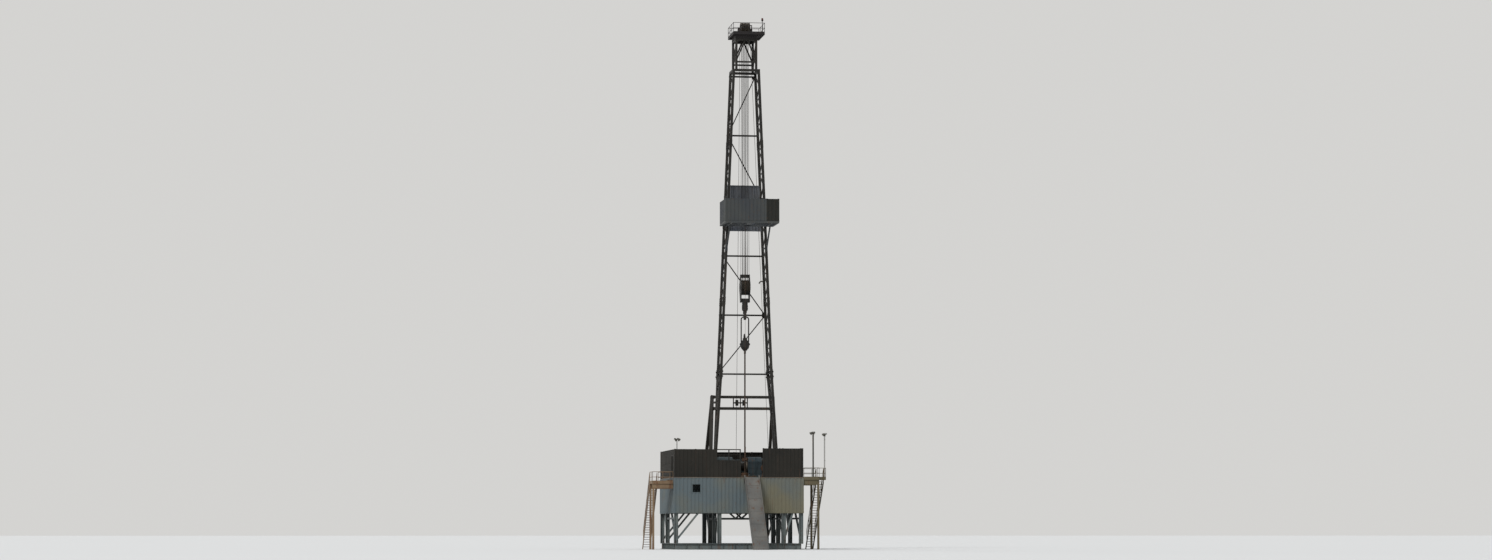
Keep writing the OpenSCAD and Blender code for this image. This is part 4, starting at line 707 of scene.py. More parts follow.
for start, end, holes in cabin_sides:
    corner, length, ahead, inward = wall_line(start, end)
    cabin_block = functools.partial(wall_block, cabin, start, end)
    ribbed(cabin, start, end, cabin_foot, cabin_head, holes,
           (cabin_foot + 0.05, (cabin_foot + panes[0]) / 2, cabin_head - 0.05))
    liner = corner + (ahead + inward) * liner_in
    ribbed(cabin, liner.xy, (liner + ahead * (length - 2 * liner_in)).xy, cabin_foot, cabin_head,
           [(u0 - liner_in, u1 - liner_in, z0, z1) for u0, u1, z0, z1 in holes], depth=0)
    cabin_block((-0.003, 0.045), (-0.003, 0.042), (cabin_foot, cabin_head))
    for z in (cabin_foot, cabin_head - 0.035):
        gaps = sorted((h[0], h[1]) for h in holes if h[2] < z + 0.03 and h[3] > z)
        edges = [0.0, *(e for pair in gaps for e in pair), length]
        for a, b in zip(edges[::2], edges[1::2]):
            cabin_block((a, b), (-0.005, 0.04), (z, z + 0.035))
    for u0, u1, z0, z1 in holes:
        door = z0 < cabin_foot
        across = (u0 - frame_out, u1 + frame_out)
        for a in (u0 - frame_out, u1 - frame_in):
            cabin_block((a, a + 0.03), (-0.009, 0.046), (cabin_foot if door else z0 + frame_in, z1 - frame_in))
        cabin_block(across, (-0.009, 0.046), (z1 - frame_in, z1 + frame_out))
        cabin_block((u0 - 0.02, u1 + 0.02), (-0.022, 0.014), (z1 + frame_out, z1 + frame_out + 0.006))
        if not door:
            cabin_block(across, (-0.018, 0.046), (z0 - frame_out, z0 + frame_in))
            cabin_block(astride((u0 + u1) / 2, 0.009), (0.008, 0.032), (z0, z1))
add_piece("cabin_walls", cabin, house_coat, instead=["doghouse_walls"])
finish_node(house_coat, "doghouse_floor", "doghouse_roof")

roof_low, roof_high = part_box("doghouse_roof")
roof_top = roof_high[2]
seam_half, seam_rise = 0.007, 0.024
roof_trim = bmesh.new()
sheets = round((roof_high[1] - roof_low[1]) / 0.32)
for y in spread(roof_low[1] + seam_half, roof_high[1] - seam_half, sheets):
    slab(roof_trim, (roof_low[0], y - seam_half, roof_top - 0.002),
         (roof_high[0], y + seam_half, roof_top + seam_rise))
edging(roof_trim, roof_low, roof_high, 0.008, roof_low[2] - 0.03, roof_top + 0.006, outside=0.004)
for x in (roof_low[0] + 0.12, roof_high[0] - 0.12):
    for y in (roof_low[1] + 0.15, roof_high[1] - 0.15):
        pad(roof_trim, x, y, roof_top, (0.03, 0.006), 0.07)
add_piece("roof_trim", roof_trim, house_coat)

glass, nodes, links, glass_shader = new_finish("window_glass")
set_up(glass_shader, Base_Color=(0.72, 0.80, 0.82, 1), Transmission_Weight=0.9, IOR=1.45)
dust = set_up(nodes.new("ShaderNodeTexNoise"), Scale=7.0)
dust_range = set_up(nodes.new("ShaderNodeMapRange"), To_Min=0.04, To_Max=0.3)
links.new(dust.outputs["Fac"], dust_range.inputs["Value"])
links.new(dust_range.outputs["Result"], glass_shader.inputs["Roughness"])
finish_node(glass, "doghouse_glass")

door_coat = coat("door_coat", (92, 96, 88), (108, 110, 100), (100, 70, 48), runs=0.4)
outer = leaf_low[0]
leaf_foot, leaf_head = leaf_low[2] + 0.004, leaf_high[2]
hinge_y, latch_y = leaf_low[1] + 0.002, leaf_high[1] - 0.002
rim = 0.045
leaf = bmesh.new()
slab(leaf, (outer + 0.006, hinge_y, leaf_foot), (leaf_high[0], latch_y, leaf_head))
for y in (hinge_y, latch_y - rim):
    slab(leaf, (outer, y, leaf_foot), (outer + 0.007, y + rim, leaf_head))
for z in (leaf_foot, (leaf_low[2] + leaf_head) / 2 - 0.03, leaf_head - rim):
    slab(leaf, (outer, leaf_low[1] + 0.046, z), (outer + 0.007, leaf_high[1] - 0.048, z + rim))
for z in (leaf_low[2] + 0.12, leaf_head - 0.2):
    boss(leaf, (outer - 0.006, leaf_low[1] + 0.006, z), upward, 0.009, 0.08)
    slab(leaf, (outer - 0.004, leaf_low[1] + 0.006, z + 0.01), (outer + 0.002, leaf_low[1] + 0.09, z + 0.07))
handle_y, handle_z = leaf_high[1] - 0.035, leaf_low[2] + 0.5
pad(leaf, outer - 0.001, handle_y, handle_z - 0.06, (0.003, 0.014), 0.12)
boss(leaf, (outer, handle_y, handle_z), (-1, 0, 0), 0.007, 0.028)
boss(leaf, (outer - 0.026, handle_y + 0.006, handle_z), (0, -1, 0), 0.006, 0.076)
add_piece("cabin_door", leaf, door_coat, instead=["doghouse_door"])

# Each mast leg is a welded lattice of two square chords and their lacing, so that the front stays open.
# Gusset plates join the lacing, splice plates join the lengths, and pins close the knee and the foot.
mast_coat = coat("mast_coat", (26, 25, 22), (38, 36, 31), (62, 44, 32), runs=0.4, patch=0.6)
finish_node(mast_coat, "mast_shoes", "leg_left_lower", "leg_right_lower", "leg_left_upper", "leg_right_upper",
            "bracing_lower", "bracing_upper", "crown_section")
upper_low, upper_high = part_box("leg_right_upper")
shoe_low, shoe_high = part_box("mast_shoes")
chord_half, lace_half = 0.0625, 0.0275
foot_z, knee_z, neck_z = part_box("leg_right_lower")[0][2], upper_low[2], upper_high[2]
foot_x = shoe_high[0] - 0.17
knee_x, neck_x = upper_high[0] - chord_half, upper_low[0] + chord_half
front_chord, rear_chord = upper_low[1] + chord_half, upper_high[1] - chord_half


def mast_half(z):
    """Well centre to the chord centres at a height."""
    if z < knee_z:
        return foot_x + (knee_x - foot_x) * (z - foot_z) / (knee_z - foot_z)
    return knee_x + (neck_x - knee_x) * (z - knee_z) / (neck_z - knee_z)


def chord_y(rear_side, z):
    """Place of a front or rear chord; below the knee the rear one runs forward to the foot."""
    if not rear_side:
        return front_chord
    near_foot = front_chord + 2 * chord_half
    return near_foot + (rear_chord - near_foot) * min(1.0, (z - foot_z) / (knee_z - foot_z))


def leg_plate(bm, side, offset, points, thickness):
    """Plate in a leg's side plane, from (y, z) points, moved outward from the chord centres."""
    gusset(bm, [(side * (mast_half(z) + offset), y, z) for y, z in points], thickness)


def oblong(a, b, half_a, half_b):
    """Corners of a rectangle, in order."""
    return [(a + p * half_a, b + q * half_b) for p, q in ((-1, -1), (1, -1), (1, 1), (-1, 1))]


lace_plate = ((0.05, -0.15), (0.05, 0.15), (0.13, 0.13), (0.2, 0.03), (0.2, -0.03), (0.13, -0.13))
lace_bolt, splice_bolt, girt_bolt, shoe_bolt = (0.011, 0.014), (0.01, 0.014), (0.012, 0.014), (0.016, 0.018)
plates = bmesh.new()
for first, last, bays in ((foot_z + 0.7, knee_z - 0.06, 7), (knee_z + 0.06, neck_z - 0.08, 24)):
    for k, z in enumerate(spread(first, last, bays)):
        rear_side = k % 2 == 0
        y = chord_y(rear_side, z)
        to = -1 if rear_side else 1
        for side, out in itertools.product((-1, 1), (-1, 1)):
            offset = out * (lace_half + 0.004)
            face = side * (mast_half(z) + offset)
            leg_plate(plates, side, offset, [(y + to * dy, z + dz) for dy, dz in lace_plate], 0.007)
            for dy, dz in ((0.095, 0.085), (0.095, -0.085), (0.165, 0.0)):
                bolt(plates, (face, y + to * dy, z + dz), (side * out, 0, 0), *lace_bolt)
for share, side, y, out in itertools.product((0.24, 0.5, 0.76), (-1, 1), (front_chord, rear_chord), (-1, 1)):
    z = knee_z + (neck_z - knee_z) * share
    offset = out * (chord_half + 0.004)
    leg_plate(plates, side, offset, oblong(y, z, 0.05, 0.2), 0.01)
    gusset(plates, [(side * mast_half(z) + dx - side * dz * 0.042, y + offset, z + dz)
                    for dx, dz in oblong(0, 0, 0.05, 0.2)], 0.01)
    for dz, across in itertools.product((-0.15, -0.05, 0.05, 0.15), (-0.028, 0.028)):
        chord_x = mast_half(z + dz)
        bolt(plates, (side * (chord_x + offset), y + across, z + dz), (side * out, 0, 0), *splice_bolt)
        bolt(plates, (side * chord_x + across, y + offset, z + dz), (0, out, 0), *splice_bolt)
for side, rear_side in itertools.product((-1, 1), (False, True)):
    y = chord_y(rear_side, knee_z)
    for out in (-1, 1):
        leg_plate(plates, side, out * (chord_half + 0.006), oblong(y, knee_z, 0.058, 0.25), 0.016)
    for z in astride(knee_z, 0.12):
        x = side * mast_half(z)
        for reach, radius in (((-0.1, 0.1), 0.032), ((-0.108, -0.09), 0.042), ((0.09, 0.108), 0.042)):
            pipe(plates, (x + reach[0], y, z), (x + reach[1], y, z), radius, 16)
add_piece("leg_plates", plates, mast_coat)

girt_back = rear_chord + chord_half + 0.08
girt_heights = [(knee_z + 0.045, floor_top + 8.325, floor_top + 11.36),
                (floor_top + 12.79, floor_top + 14.4, floor_top + 17.56, floor_top + 20.61)]
brace_plate = ((-0.02, 0.03), (0.17, 0.03), (0.15, 0.11), (0.06, 0.16), (-0.02, 0.12))
plates = bmesh.new()
for heights in girt_heights:
    for (k, z), side in itertools.product(enumerate(heights), (-1, 1)):
        x = side * mast_half(z)
        meets = side == (-1) ** (k + 1)
        reach = 0.26 if meets else 0.16
        slab(plates, (x + side * 0.055, girt_back - 0.001, z - 0.036),
             (x - side * reach, girt_back + 0.007, z + 0.036))
        for up in (1, -1):
            if meets and 0 <= k + up < len(heights):
                outline = [(x - side * dx, girt_back - 0.011, z + up * dz) for dx, dz in brace_plate]
                gusset(plates, outline, 0.007)
        bolts(plates, [x - side * dx for dx in (0.03, 0.0, 0.1)], girt_back + 0.006, z, (0, 1, 0), *girt_bolt)
add_piece("girt_plates", plates, mast_coat)

shoe_front, shoe_rear = shoe_low[1], shoe_high[1]
base_half, base_top = 0.21, floor_top + 0.022
shoe_trim = bmesh.new()
for side in (-1, 1):
    x = side * foot_x
    slab(shoe_trim, (x - base_half, shoe_front - 0.04, floor_top), (x + base_half, shoe_rear + 0.04, base_top))
    for out in (-1, 1):
        bolts(shoe_trim, x + out * 0.19, spread(shoe_front, shoe_rear, 3), base_top, upward, *shoe_bolt)
        for y in (shoe_front + 0.1, shoe_rear - 0.1):
            web = ((0.1748, 0.02), (0.209, 0.02), (0.1748, 0.13))
            gusset(shoe_trim, [(x + out * dx, y, floor_top + dz) for dx, dz in web], 0.012)
        pin = Vector((x + out * 0.139, front_chord + 0.06, foot_z + 0.15))
        boss(shoe_trim, pin, (out, 0, 0), 0.052, 0.01251, 20)
        pipe(shoe_trim, pin - upward * 0.065, pin + upward * 0.065, 0.006, 8)
add_piece("shoe_trim", shoe_trim, mast_coat)

# The A-frame behind the mast raises and holds it. Its four legs stand on bolted plates, and plates with
# pins tie its head beams to them. The raising line ran over the two wheels on its shaft.
a_frame_coat = coat("a_frame_coat", (38, 36, 32), (50, 47, 41), (72, 50, 36), runs=0.4, patch=0.7)
finish_node(a_frame_coat, "a_frame")
foot_half, foot_rows, foot_plate, foot_bolt = 1.687, (0.7, 3.3), 0.02, (0.015, 0.018)
head_half, head_y, tie_out = 1.56, 0.95, 0.066
head_beams = (floor_top + 3.555, floor_top + 4.14)
tie_plate = ((0.06, -0.15), (0.06, 0.1), (-0.2, 0.064), (-0.2, -0.064))
plates = bmesh.new()
for side in (-1, 1):
    x = side * foot_half
    for y in foot_rows:
        pad(plates, x, y, floor_top, (0.15, 0.16), foot_plate)
        bolts(plates, astride(x, 0.115), astride(y, 0.125), floor_top + foot_plate, upward, *foot_bolt)
    for z, out in itertools.product(head_beams, (-1, 1)):
        face = head_y + out * tie_out
        gusset(plates, [(side * (head_half + dx), face, z + dz) for dx, dz in tie_plate], 0.012)
        bolts(plates, [side * (head_half - dx) for dx in (0.15, 0.06)], face + out * 0.006, astride(z, 0.035),
              (0, out, 0), *girt_bolt)
add_piece("a_frame_plates", plates, a_frame_coat)

# Crown: beams with two pedestals carry six grooved cast sheaves on one pin. A grating walk with pipe rails
# runs round them, and the warning lamp stands on a pole.
crown_coat = coat("crown_coat", (28, 25, 25), (38, 35, 33), (62, 42, 32), runs=0.35, patch=0.5)
finish_node(crown_coat, "crown_frame")
walk_low, walk_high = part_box("crown_platform")
walk_z = walk_low[2] + 0.02
x0, y0, x1, y1 = walk_low[0], walk_low[1], walk_high[0], walk_high[1]
hole_x, hole_y = 0.435, 0.501
lamp_at = Vector((x1 - 0.06, -0.42, walk_z))
lamp_base, lamp_cap, lens_r = 0.785, 0.85, 0.043


def circle(count, start=0.0):
    """Cosine and sine of equal turns round a circle."""
    turns = [math.tau * k / count + start for k in range(count)]
    return [(math.cos(turn), math.sin(turn)) for turn in turns]


walk = bmesh.new()
for low, high in (((x0, y0), (x1, -hole_y)), ((x0, hole_y), (x1, y1)),
                  ((x0, -hole_y), (-hole_x, hole_y)), ((hole_x, -hole_y), (x1, hole_y))):
    grating(walk, (low[0] + 0.006, low[1] + 0.006), (high[0] - 0.006, high[1] - 0.006), walk_z, depth=0.018)
edging(walk, walk_low, walk_high, 0.01, walk_z - 0.06, walk_z + 0.01)
edging(walk, (-hole_x, -hole_y), (hole_x, hole_y), 0.008, walk_z - 0.04, walk_z + 0.05, outside=0.004)
for y in (y0 + 0.1, -0.5, 0.75, y1 - 0.1):
    slab(walk, (x0 + 0.004, y - 0.02, walk_z - 0.078), (x1 - 0.004, y + 0.02, walk_z - 0.02))
rail_x0, rail_y0, rail_x1, rail_y1 = x0 + rail_pipe, y0 + rail_pipe, x1 - rail_pipe, y1 - rail_pipe
railing(walk, walk_z, [(rail_x0, rail_y0), (rail_x1, rail_y0), (rail_x1, rail_y1), (rail_x0, rail_y1),
                       (rail_x0, rail_y0)])
for low, high, radius, sides in ((0.0, 0.72, 0.016, 12), (0.7, 0.715, 0.03, 16), (0.715, 0.775, 0.055, 20),
                                 (0.775, lamp_base, 0.05, 20)):
    pipe(walk, lamp_at + upward * low, lamp_at + upward * high, radius, sides)
for c, s in circle(4, 0.4):
    boss(walk, lamp_at + Vector((0.05 * c, 0.05 * s, 0.775)), upward, 0.003, 0.078, 6)
pipe(walk, lamp_at + upward * lamp_cap, (lamp_at.x, lamp_at.y, walk_high[2]), 0.055, 20, tip=0.02)
add_piece("crown_walk", walk, crown_coat, instead=["crown_platform"])


def tinted(name, scale, dark, light, **shine):
    """Glass or glaze whose colour drifts between two tints."""
    made, nodes, links, shader = new_finish(name)
    set_up(shader, **shine)
    drift = set_up(nodes.new("ShaderNodeTexNoise"), Scale=scale)
    ramp = nodes.new("ShaderNodeValToRGB")
    ramp.color_ramp.elements[0].color, ramp.color_ramp.elements[1].color = (*dark, 1), (*light, 1)
    links.new(drift.outputs["Fac"], ramp.inputs["Fac"])
    links.new(ramp.outputs["Color"], shader.inputs["Base Color"])
    return made


lens_glass = tinted("lens_coat", 25.0, (0.16, 0.012, 0.008), (0.34, 0.03, 0.02), Transmission_Weight=0.5,
                    Roughness=0.18)
lens = bmesh.new()
for k in range(5):
    ring_z = lamp_base + k * 0.013
    boss(lens, lamp_at + upward * ring_z, upward, lens_r, 0.007, 24)
    boss(lens, lamp_at + upward * (ring_z + 0.007), upward, lens_r - 0.004, 0.006, 24)
add_piece("warning_lens", lens, lens_glass)

# Racking board: a frame of beams with fingers that hold the racked pipe, walled with dark slate-grey ribbed
# sheet on three sides; its right end and right side have a near-black coat that is painted shade. A taller
# wall of the same sheet shields the open back of the mast, in a lighter coat that is painted light against
# the mast's shadow.
board_coat = coat("board_coat", (52, 56, 60), (63, 65, 63), (74, 56, 42), runs=0.3, patch=0.6)
# Painted shade: this near-black coat on the basket's right end and side stands in for the shadow on that side.
painted_shade_coat = coat("painted_shade_coat", (20, 22, 18), (29, 29, 25), (60, 44, 33), runs=0.35, patch=0.6)
# Painted light: the tall shield's coat is made lighter than the board's to offset the mast's shadow on it.
shield_painted_light_coat = coat("shield_painted_light_coat", (76, 80, 88), (90, 92, 95), (78, 60, 46), runs=0.3, patch=0.6)
finish_node(board_coat, "racking_board")
basket_low, basket_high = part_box("racking_walls")
board_z, basket_top = basket_low[2], basket_high[2]
board_x, board_front, board_rear = basket_high[0], basket_low[1], basket_high[1]
# From here to the right end the basket's walls take the painted shade coat.
painted_shade_from = 0.72
for name, start, end, side, paint, instead in (
        ("basket_walls", -board_x, painted_shade_from, -1, board_coat, ["racking_walls"]),
        ("basket_painted_shade_walls", painted_shade_from, board_x, 1, painted_shade_coat, ())):
    basket = bmesh.new()
    wind_wall(basket, (start, board_front), (end, board_front), basket_top - board_z, base=board_z)
    side_run = [(side * board_x, board_rear), (side * board_x, board_front + 0.02)][::-side]
    wind_wall(basket, *side_run, basket_top - board_z, base=board_z)
    corner_angle(basket, (side * board_x, board_front), (-side, 1), board_z, basket_top)
    add_piece(name, basket, paint, instead=instead)

(_, shield_front, shield_foot), (_, shield_back, shield_head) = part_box("tall_wall")
wall_gap = lace_half + 0.008
wall_half = mast_half(shield_foot) - wall_gap
shield = bmesh.new()
ribbed(shield, (wall_half, shield_back), (-wall_half, shield_back), shield_foot, shield_head,
       rows=(shield_foot + 0.05, shield_foot + 0.8, shield_foot + 1.6, shield_head - 0.05))
for z in (shield_foot, shield_foot + 0.78, shield_foot + 1.58, shield_head - 0.05):
    slab(shield, (-wall_half, shield_back - 0.045, z), (wall_half, shield_back - 0.019, z + 0.045))
for x in (-0.6, 0.0, 0.6):
    slab(shield, (x - 0.025, shield_front, shield_foot), (x + 0.025, shield_back - 0.0195, shield_head))
for vert in shield.verts:
    vert.co.x *= (mast_half(vert.co.z) - wall_gap) / wall_half
add_piece("tall_shield", shield, shield_painted_light_coat, instead=["tall_wall"])

board_low, board_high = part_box("racking_board")
fingers = 8
finger_pitch = (board_high[1] - board_low[1] - 0.5) / fingers
board_trim = bmesh.new()
grating(board_trim, (-0.15, board_low[1] + 0.1), (0.15, board_high[1] - 0.1), board_z + 0.012, depth=0.012)
for side, k in itertools.product((-1, 1), range(fingers)):
    y = board_low[1] + 0.33 + k * finger_pitch
    pad(board_trim, side * 0.375, y, board_z - 0.064, (0.045, 0.034), 0.068)
    pad(board_trim, side * 0.38, y, board_z, (0.02, 0.006), 0.05)
    boss(board_trim, (side * 0.38, y - 0.012, board_z + 0.035), (0, 1, 0), 0.02, 0.024)
    pad(board_trim, side * 1.18, y, board_z - 0.066, (0.08, 0.04), 0.072)
    bolts(board_trim, (side * 1.14, side * 1.22), y, board_z + 0.006, upward, 0.011, 0.012)
add_piece("board_trim", board_trim, board_coat)

# The ladder to the crown is welded steel: round rungs between two flat rails. Brackets on the left leg
# hold it off the lattice, and it has the mast's paint.
ladder_low, ladder_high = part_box("mast_ladder")
rung_step, rail_half = 0.15, 0.015
ladder_foot = Vector((ladder_low[0] + rail_half, 0, ladder_low[2] + 0.005))
ladder_head = Vector((ladder_high[0] - rail_half, 0, ladder_high[2] - 0.005))
ladder_run = ladder_head - ladder_foot
rail_rows = (ladder_low[1] + 0.005, ladder_high[1] - 0.005)
ladder = bmesh.new()
for y in rail_rows:
    edges = ((ladder_foot, -rail_half), (ladder_foot, rail_half),
             (ladder_head, rail_half), (ladder_head, -rail_half))
    gusset(ladder, [end + Vector((x, y, 0)) for end, x in edges], 0.01)
for k in range(int(ladder_run.length / rung_step) + 1):
    at = ladder_foot + ladder_run.normalized() * (0.05 + k * rung_step)
    if at.z < ladder_head.z:
        pipe(ladder, (at.x, ladder_low[1], at.z), (at.x, ladder_high[1], at.z), 0.009, 8)
    if k % 10 == 4:
        for y in rail_rows:
            slab(ladder, (at.x, y - 0.004, at.z - 0.012), (at.x + 0.05, y + 0.004, at.z + 0.012))
add_piece("mast_ladder_rungs", ladder, mast_coat, instead=["mast_ladder"])

# The standpipe carries mud up the mast. It is seamless pipe bent over at its top, made up with hammer
# unions and held to the right leg by clamps.
pipe_coat = coat("pipe_coat", (107, 106, 100), (124, 120, 110), (104, 74, 52), runs=0.5)
finish_node(pipe_coat, "standpipe")
stand_low, stand_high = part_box("standpipe")
stand_y = stand_high[1] - 0.032
unions = bmesh.new()
for lift in (0.02, 1.3, 2.7, 4.1):
    z = stand_low[2] + lift
    x = mast_half(z) + 0.02
    pipe(unions, (x + 0.001, stand_y, z - 0.03), (x - 0.001, stand_y, z + 0.03), 0.048, 20)
    boss(unions, (x, stand_y, z - 0.012), upward, 0.056, 0.032, 20)
    for c, s in circle(3, 0.5):
        away, at = Vector((c, s, 0)), Vector((x, stand_y, z + 0.004))
        bar(unions, at + away * 0.05, at + away * 0.074, 0.02, 0.026)
add_piece("standpipe_unions", unions, pipe_coat)

# The drilling line is greased wire rope. Ten parts of it run between the crown and the block and stay
# straight as the block moves; the fast line runs on to the drum and the dead line to its anchor.
def rope(bm, points, radius, across=(1, 0, 0), sides=8):
    """Bent rope or rod through points that lie about square to the cross direction."""
    points = [Vector(p) for p in points]
    rings = []
    for k, at in enumerate(points):
        ahead = (points[min(k + 1, len(points) - 1)] - points[max(k - 1, 0)]).normalized()
        side = ahead.cross(Vector(across)).normalized() * radius
        up = ahead.cross(side)
        rings.append([bm.verts.new(at + side * c + up * s) for c, s in circle(sides)])
    for near, beyond in zip(rings, rings[1:]):
        for j in range(sides):
            after = (j + 1) % sides
            bm.faces.new((near[j], near[after], beyond[after], beyond[j])).smooth = True
    bm.faces.new(rings[0])
    bm.faces.new(rings[-1][::-1])


def rope_arc(bm, centre, axis, bend, first, last, steps, radius, advance=0.0, sides=8):
    """Rope or rod bent about an axis, X, Y or Z, between two angles, and moving along it as a coil does."""
    axis = Vector(axis)
    right = Vector((0, 1, 0)) if axis.x else Vector((1, 0, 0))
    up = Vector((0, 1, 0)) if axis.z else Vector((0, 0, 1))
    points = []
    for k in range(steps + 1):
        turn = math.radians(first + (last - first) * k / steps)
        points.append(Vector(centre) + (right * math.cos(turn) + up * math.sin(turn)) * bend
                      + axis * advance * k / steps)
    rope(bm, points, radius, axis, sides)


line_coat = coat("line_coat", (23, 22, 20), (34, 32, 29), (60, 42, 30), runs=0.3, rough=0.5, metal=0.3)
ridges(line_coat, 0.02, 0.004, ((35, 35, 0),))
finish_node(line_coat, "fast_line", "dead_line")
line_gauge, line_r = 0.009, 0.364
sheave_pitch = 0.08
crown_low, crown_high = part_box("crown_sheaves")
block_low, block_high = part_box("block_sheaves")
crown_z = (crown_low[2] + crown_high[2]) / 2
block_z = (block_low[2] + block_high[2]) / 2
crown_row = [crown_low[0] + 0.03 + sheave_pitch * k for k in range(6)]
block_row = [block_low[0] + 0.03 + sheave_pitch * k for k in range(5)]
falls = bmesh.new()
for k, x in enumerate(block_row):
    for y, head_x in ((-line_r, crown_row[k]), (line_r, crown_row[k + 1])):
        pipe(falls, (x, y, block_z), (head_x, y, crown_z), line_gauge, 8)
falls = add_piece("drilling_line", falls, line_coat, body=None, instead=["drilling_lines"])
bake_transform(falls)
for name, row, centre, last, body in (("crown_turns", crown_row, crown_z, 0, "root"),
                                      ("block_turns", block_row, block_z, 360, "travelling")):
    turns = bmesh.new()
    for x in row:
        rope_arc(turns, (x, 0, centre), (1, 0, 0), line_r, 180, last, 24, line_gauge)
    add_piece(name, turns, line_coat, body=body)


def bolt_ring(bm, centre, way, count, ring_r, radius=0.012, height=0.012, start=0.0):
    """Hexagon heads on a circle round a centre, all standing the given way."""
    centre, way = Vector(centre), Vector(way)
    right, up = Vector((-way.y, way.x, 0)), upward
    if way.z:
        right, up = Vector((1, 0, 0)), Vector((0, 1, 0))
    for c, s in circle(count, start):
        bolt(bm, centre + (right * c + up * s) * ring_r, way, radius, height)


spoke_in, spoke_out, hub_ring, hub_bolt = 0.105, 0.325, 0.095, (0.009, 0.009)
sheave_coat = coat("sheave_coat", (74, 68, 60), (96, 90, 80), (92, 62, 42), runs=0.4, rough=0.5, metal=0.6)
finish_node(sheave_coat, "crown_sheaves", "block_sheaves")
for name, row, centre, body in (("crown_hubs", crown_row, crown_z, "crown_wheel"),
                                ("block_hubs", block_row, block_z, "block_wheel")):
    hubs = bmesh.new()
    for side, x in ((-1, row[0] - 0.012), (1, row[-1] + 0.012)):
        at = Vector((x, 0, centre))
        for c, s in circle(8):
            spoke = Vector((0, c, s))
            bar(hubs, at + spoke * spoke_in, at + spoke * spoke_out, 0.016, 0.022)
        bolt_ring(hubs, (x + side * 0.018, 0, centre), (side, 0, 0), 8, hub_ring, *hub_bolt)
    add_piece(name, hubs, sheave_coat, body=body)

# The pedestals hold the crown pin with keeper plates. The guards over the sheaves are bolted, and the water
# table's beams have welded stiffeners.
pedestal = 0.305
pedestal_face = pedestal + 0.045
pin_cap, pin_ring, cap_plate = 0.095, 0.078, 0.012
base_bolt, guard_bolt = (0.014, 0.016), (0.01, 0.012)
table_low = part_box("crown_frame")[0][2]
crown_trim = bmesh.new()
for side in (-1, 1):
    x = side * pedestal_face
    slab(crown_trim, (x, -0.05, crown_z + 0.062), (x + side * 0.02, 0.05, crown_z + 0.09))
    boss(crown_trim, (x, 0, crown_z), (side, 0, 0), pin_cap, cap_plate, 24)
    bolt_ring(crown_trim, (x + side * cap_plate, 0, crown_z), (side, 0, 0), 6, pin_ring)
    bolts(crown_trim, side * (pedestal + 0.075), (-0.23, -0.17, 0.17, 0.23), walk_z, upward, *base_bolt)
    slab(crown_trim, (x, -0.27, walk_z - 0.022), (side * (pedestal + 0.1), 0.27, walk_z))
    for way in (-1, 1):
        bolts(crown_trim, side * (pedestal - 0.02), way * 0.461, [crown_z + dz for dz in (-0.16, -0.02, 0.12)],
              (0, way, 0), *guard_bolt)
    for y in (-0.25, 0.0, 0.3, 0.55):
        pad(crown_trim, side * 0.51, y, table_low + 0.01, (0.061, 0.006), walk_low[2] - table_low - 0.02)
add_piece("crown_trim", crown_trim, crown_coat)

# Travelling block, hook and swivel are heavy castings and forgings under dark greasy paint: cheek plates
# with bolted edges, a sprung hook with a latch, and the swivel with its bonnet, packing nuts and gooseneck.
block_coat = coat("block_coat", (27, 27, 25), (40, 38, 34), (62, 44, 32), runs=0.35, rough=0.5, patch=0.5)
finish_node(block_coat, "block_frame", "hook", "swivel")
block_foot, block_head = (corner[2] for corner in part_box("block_frame"))
cheek_out, cheek_ring, cap_out, cap_ring = 0.235, 0.375, 0.249, 0.09
cheek_bolt, rim_bolt, cap_bolt = (0.014, 0.014), (0.011, 0.012), (0.01, 0.006)
block_trim = bmesh.new()
for side in (-1, 1):
    way = (side, 0, 0)
    face = side * cheek_out
    bolt_ring(block_trim, (face, 0, block_z), way, 24, cheek_ring, *rim_bolt, math.pi / 24)
    bolt_ring(block_trim, (side * cap_out, 0, block_z), way, 8, cap_ring, *cap_bolt)
    bolts(block_trim, face, (-0.084, 0, 0.084), (block_head - 0.03, block_head - 0.14), way, *cheek_bolt)
    bolts(block_trim, face, (-0.105, 0, 0.105), (block_foot + 0.03, block_foot + 0.14), way, *cheek_bolt)
    slab(block_trim, (face, -0.2, block_z + 0.2), (face + side * 0.006, 0.2, block_z + 0.29))
add_piece("block_bolts", block_trim, block_coat, body="travelling")

hook_low, hook_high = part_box("hook")
bail_z, barrel_top = hook_low[2] + 0.15, hook_high[2]
barrel_r = 0.148
latch = ((0.05, 0.225), (0.1, 0.2), (0.152, 0.07), (0.12, 0.05), (0.06, 0.165))
hook_trim = bmesh.new()
for c, s in circle(10):
    out = Vector((c, s, 0))
    bolt(hook_trim, out * (barrel_r + 0.001) + upward * (barrel_top - 0.2), out)
    strip = out * barrel_r
    bar(hook_trim, strip + upward * (bail_z + 0.4), strip + upward * (barrel_top - 0.25), 0.014)
for x in (-0.067, 0.067):
    pipe(hook_trim, (x, 0.07, bail_z + 0.2), (x * 1.35, 0.07, bail_z + 0.2), 0.022, 12)
    gusset(hook_trim, [(x, y, bail_z + z) for y, z in latch], 0.012)
add_piece("hook_latch", hook_trim, block_coat, body="travelling")

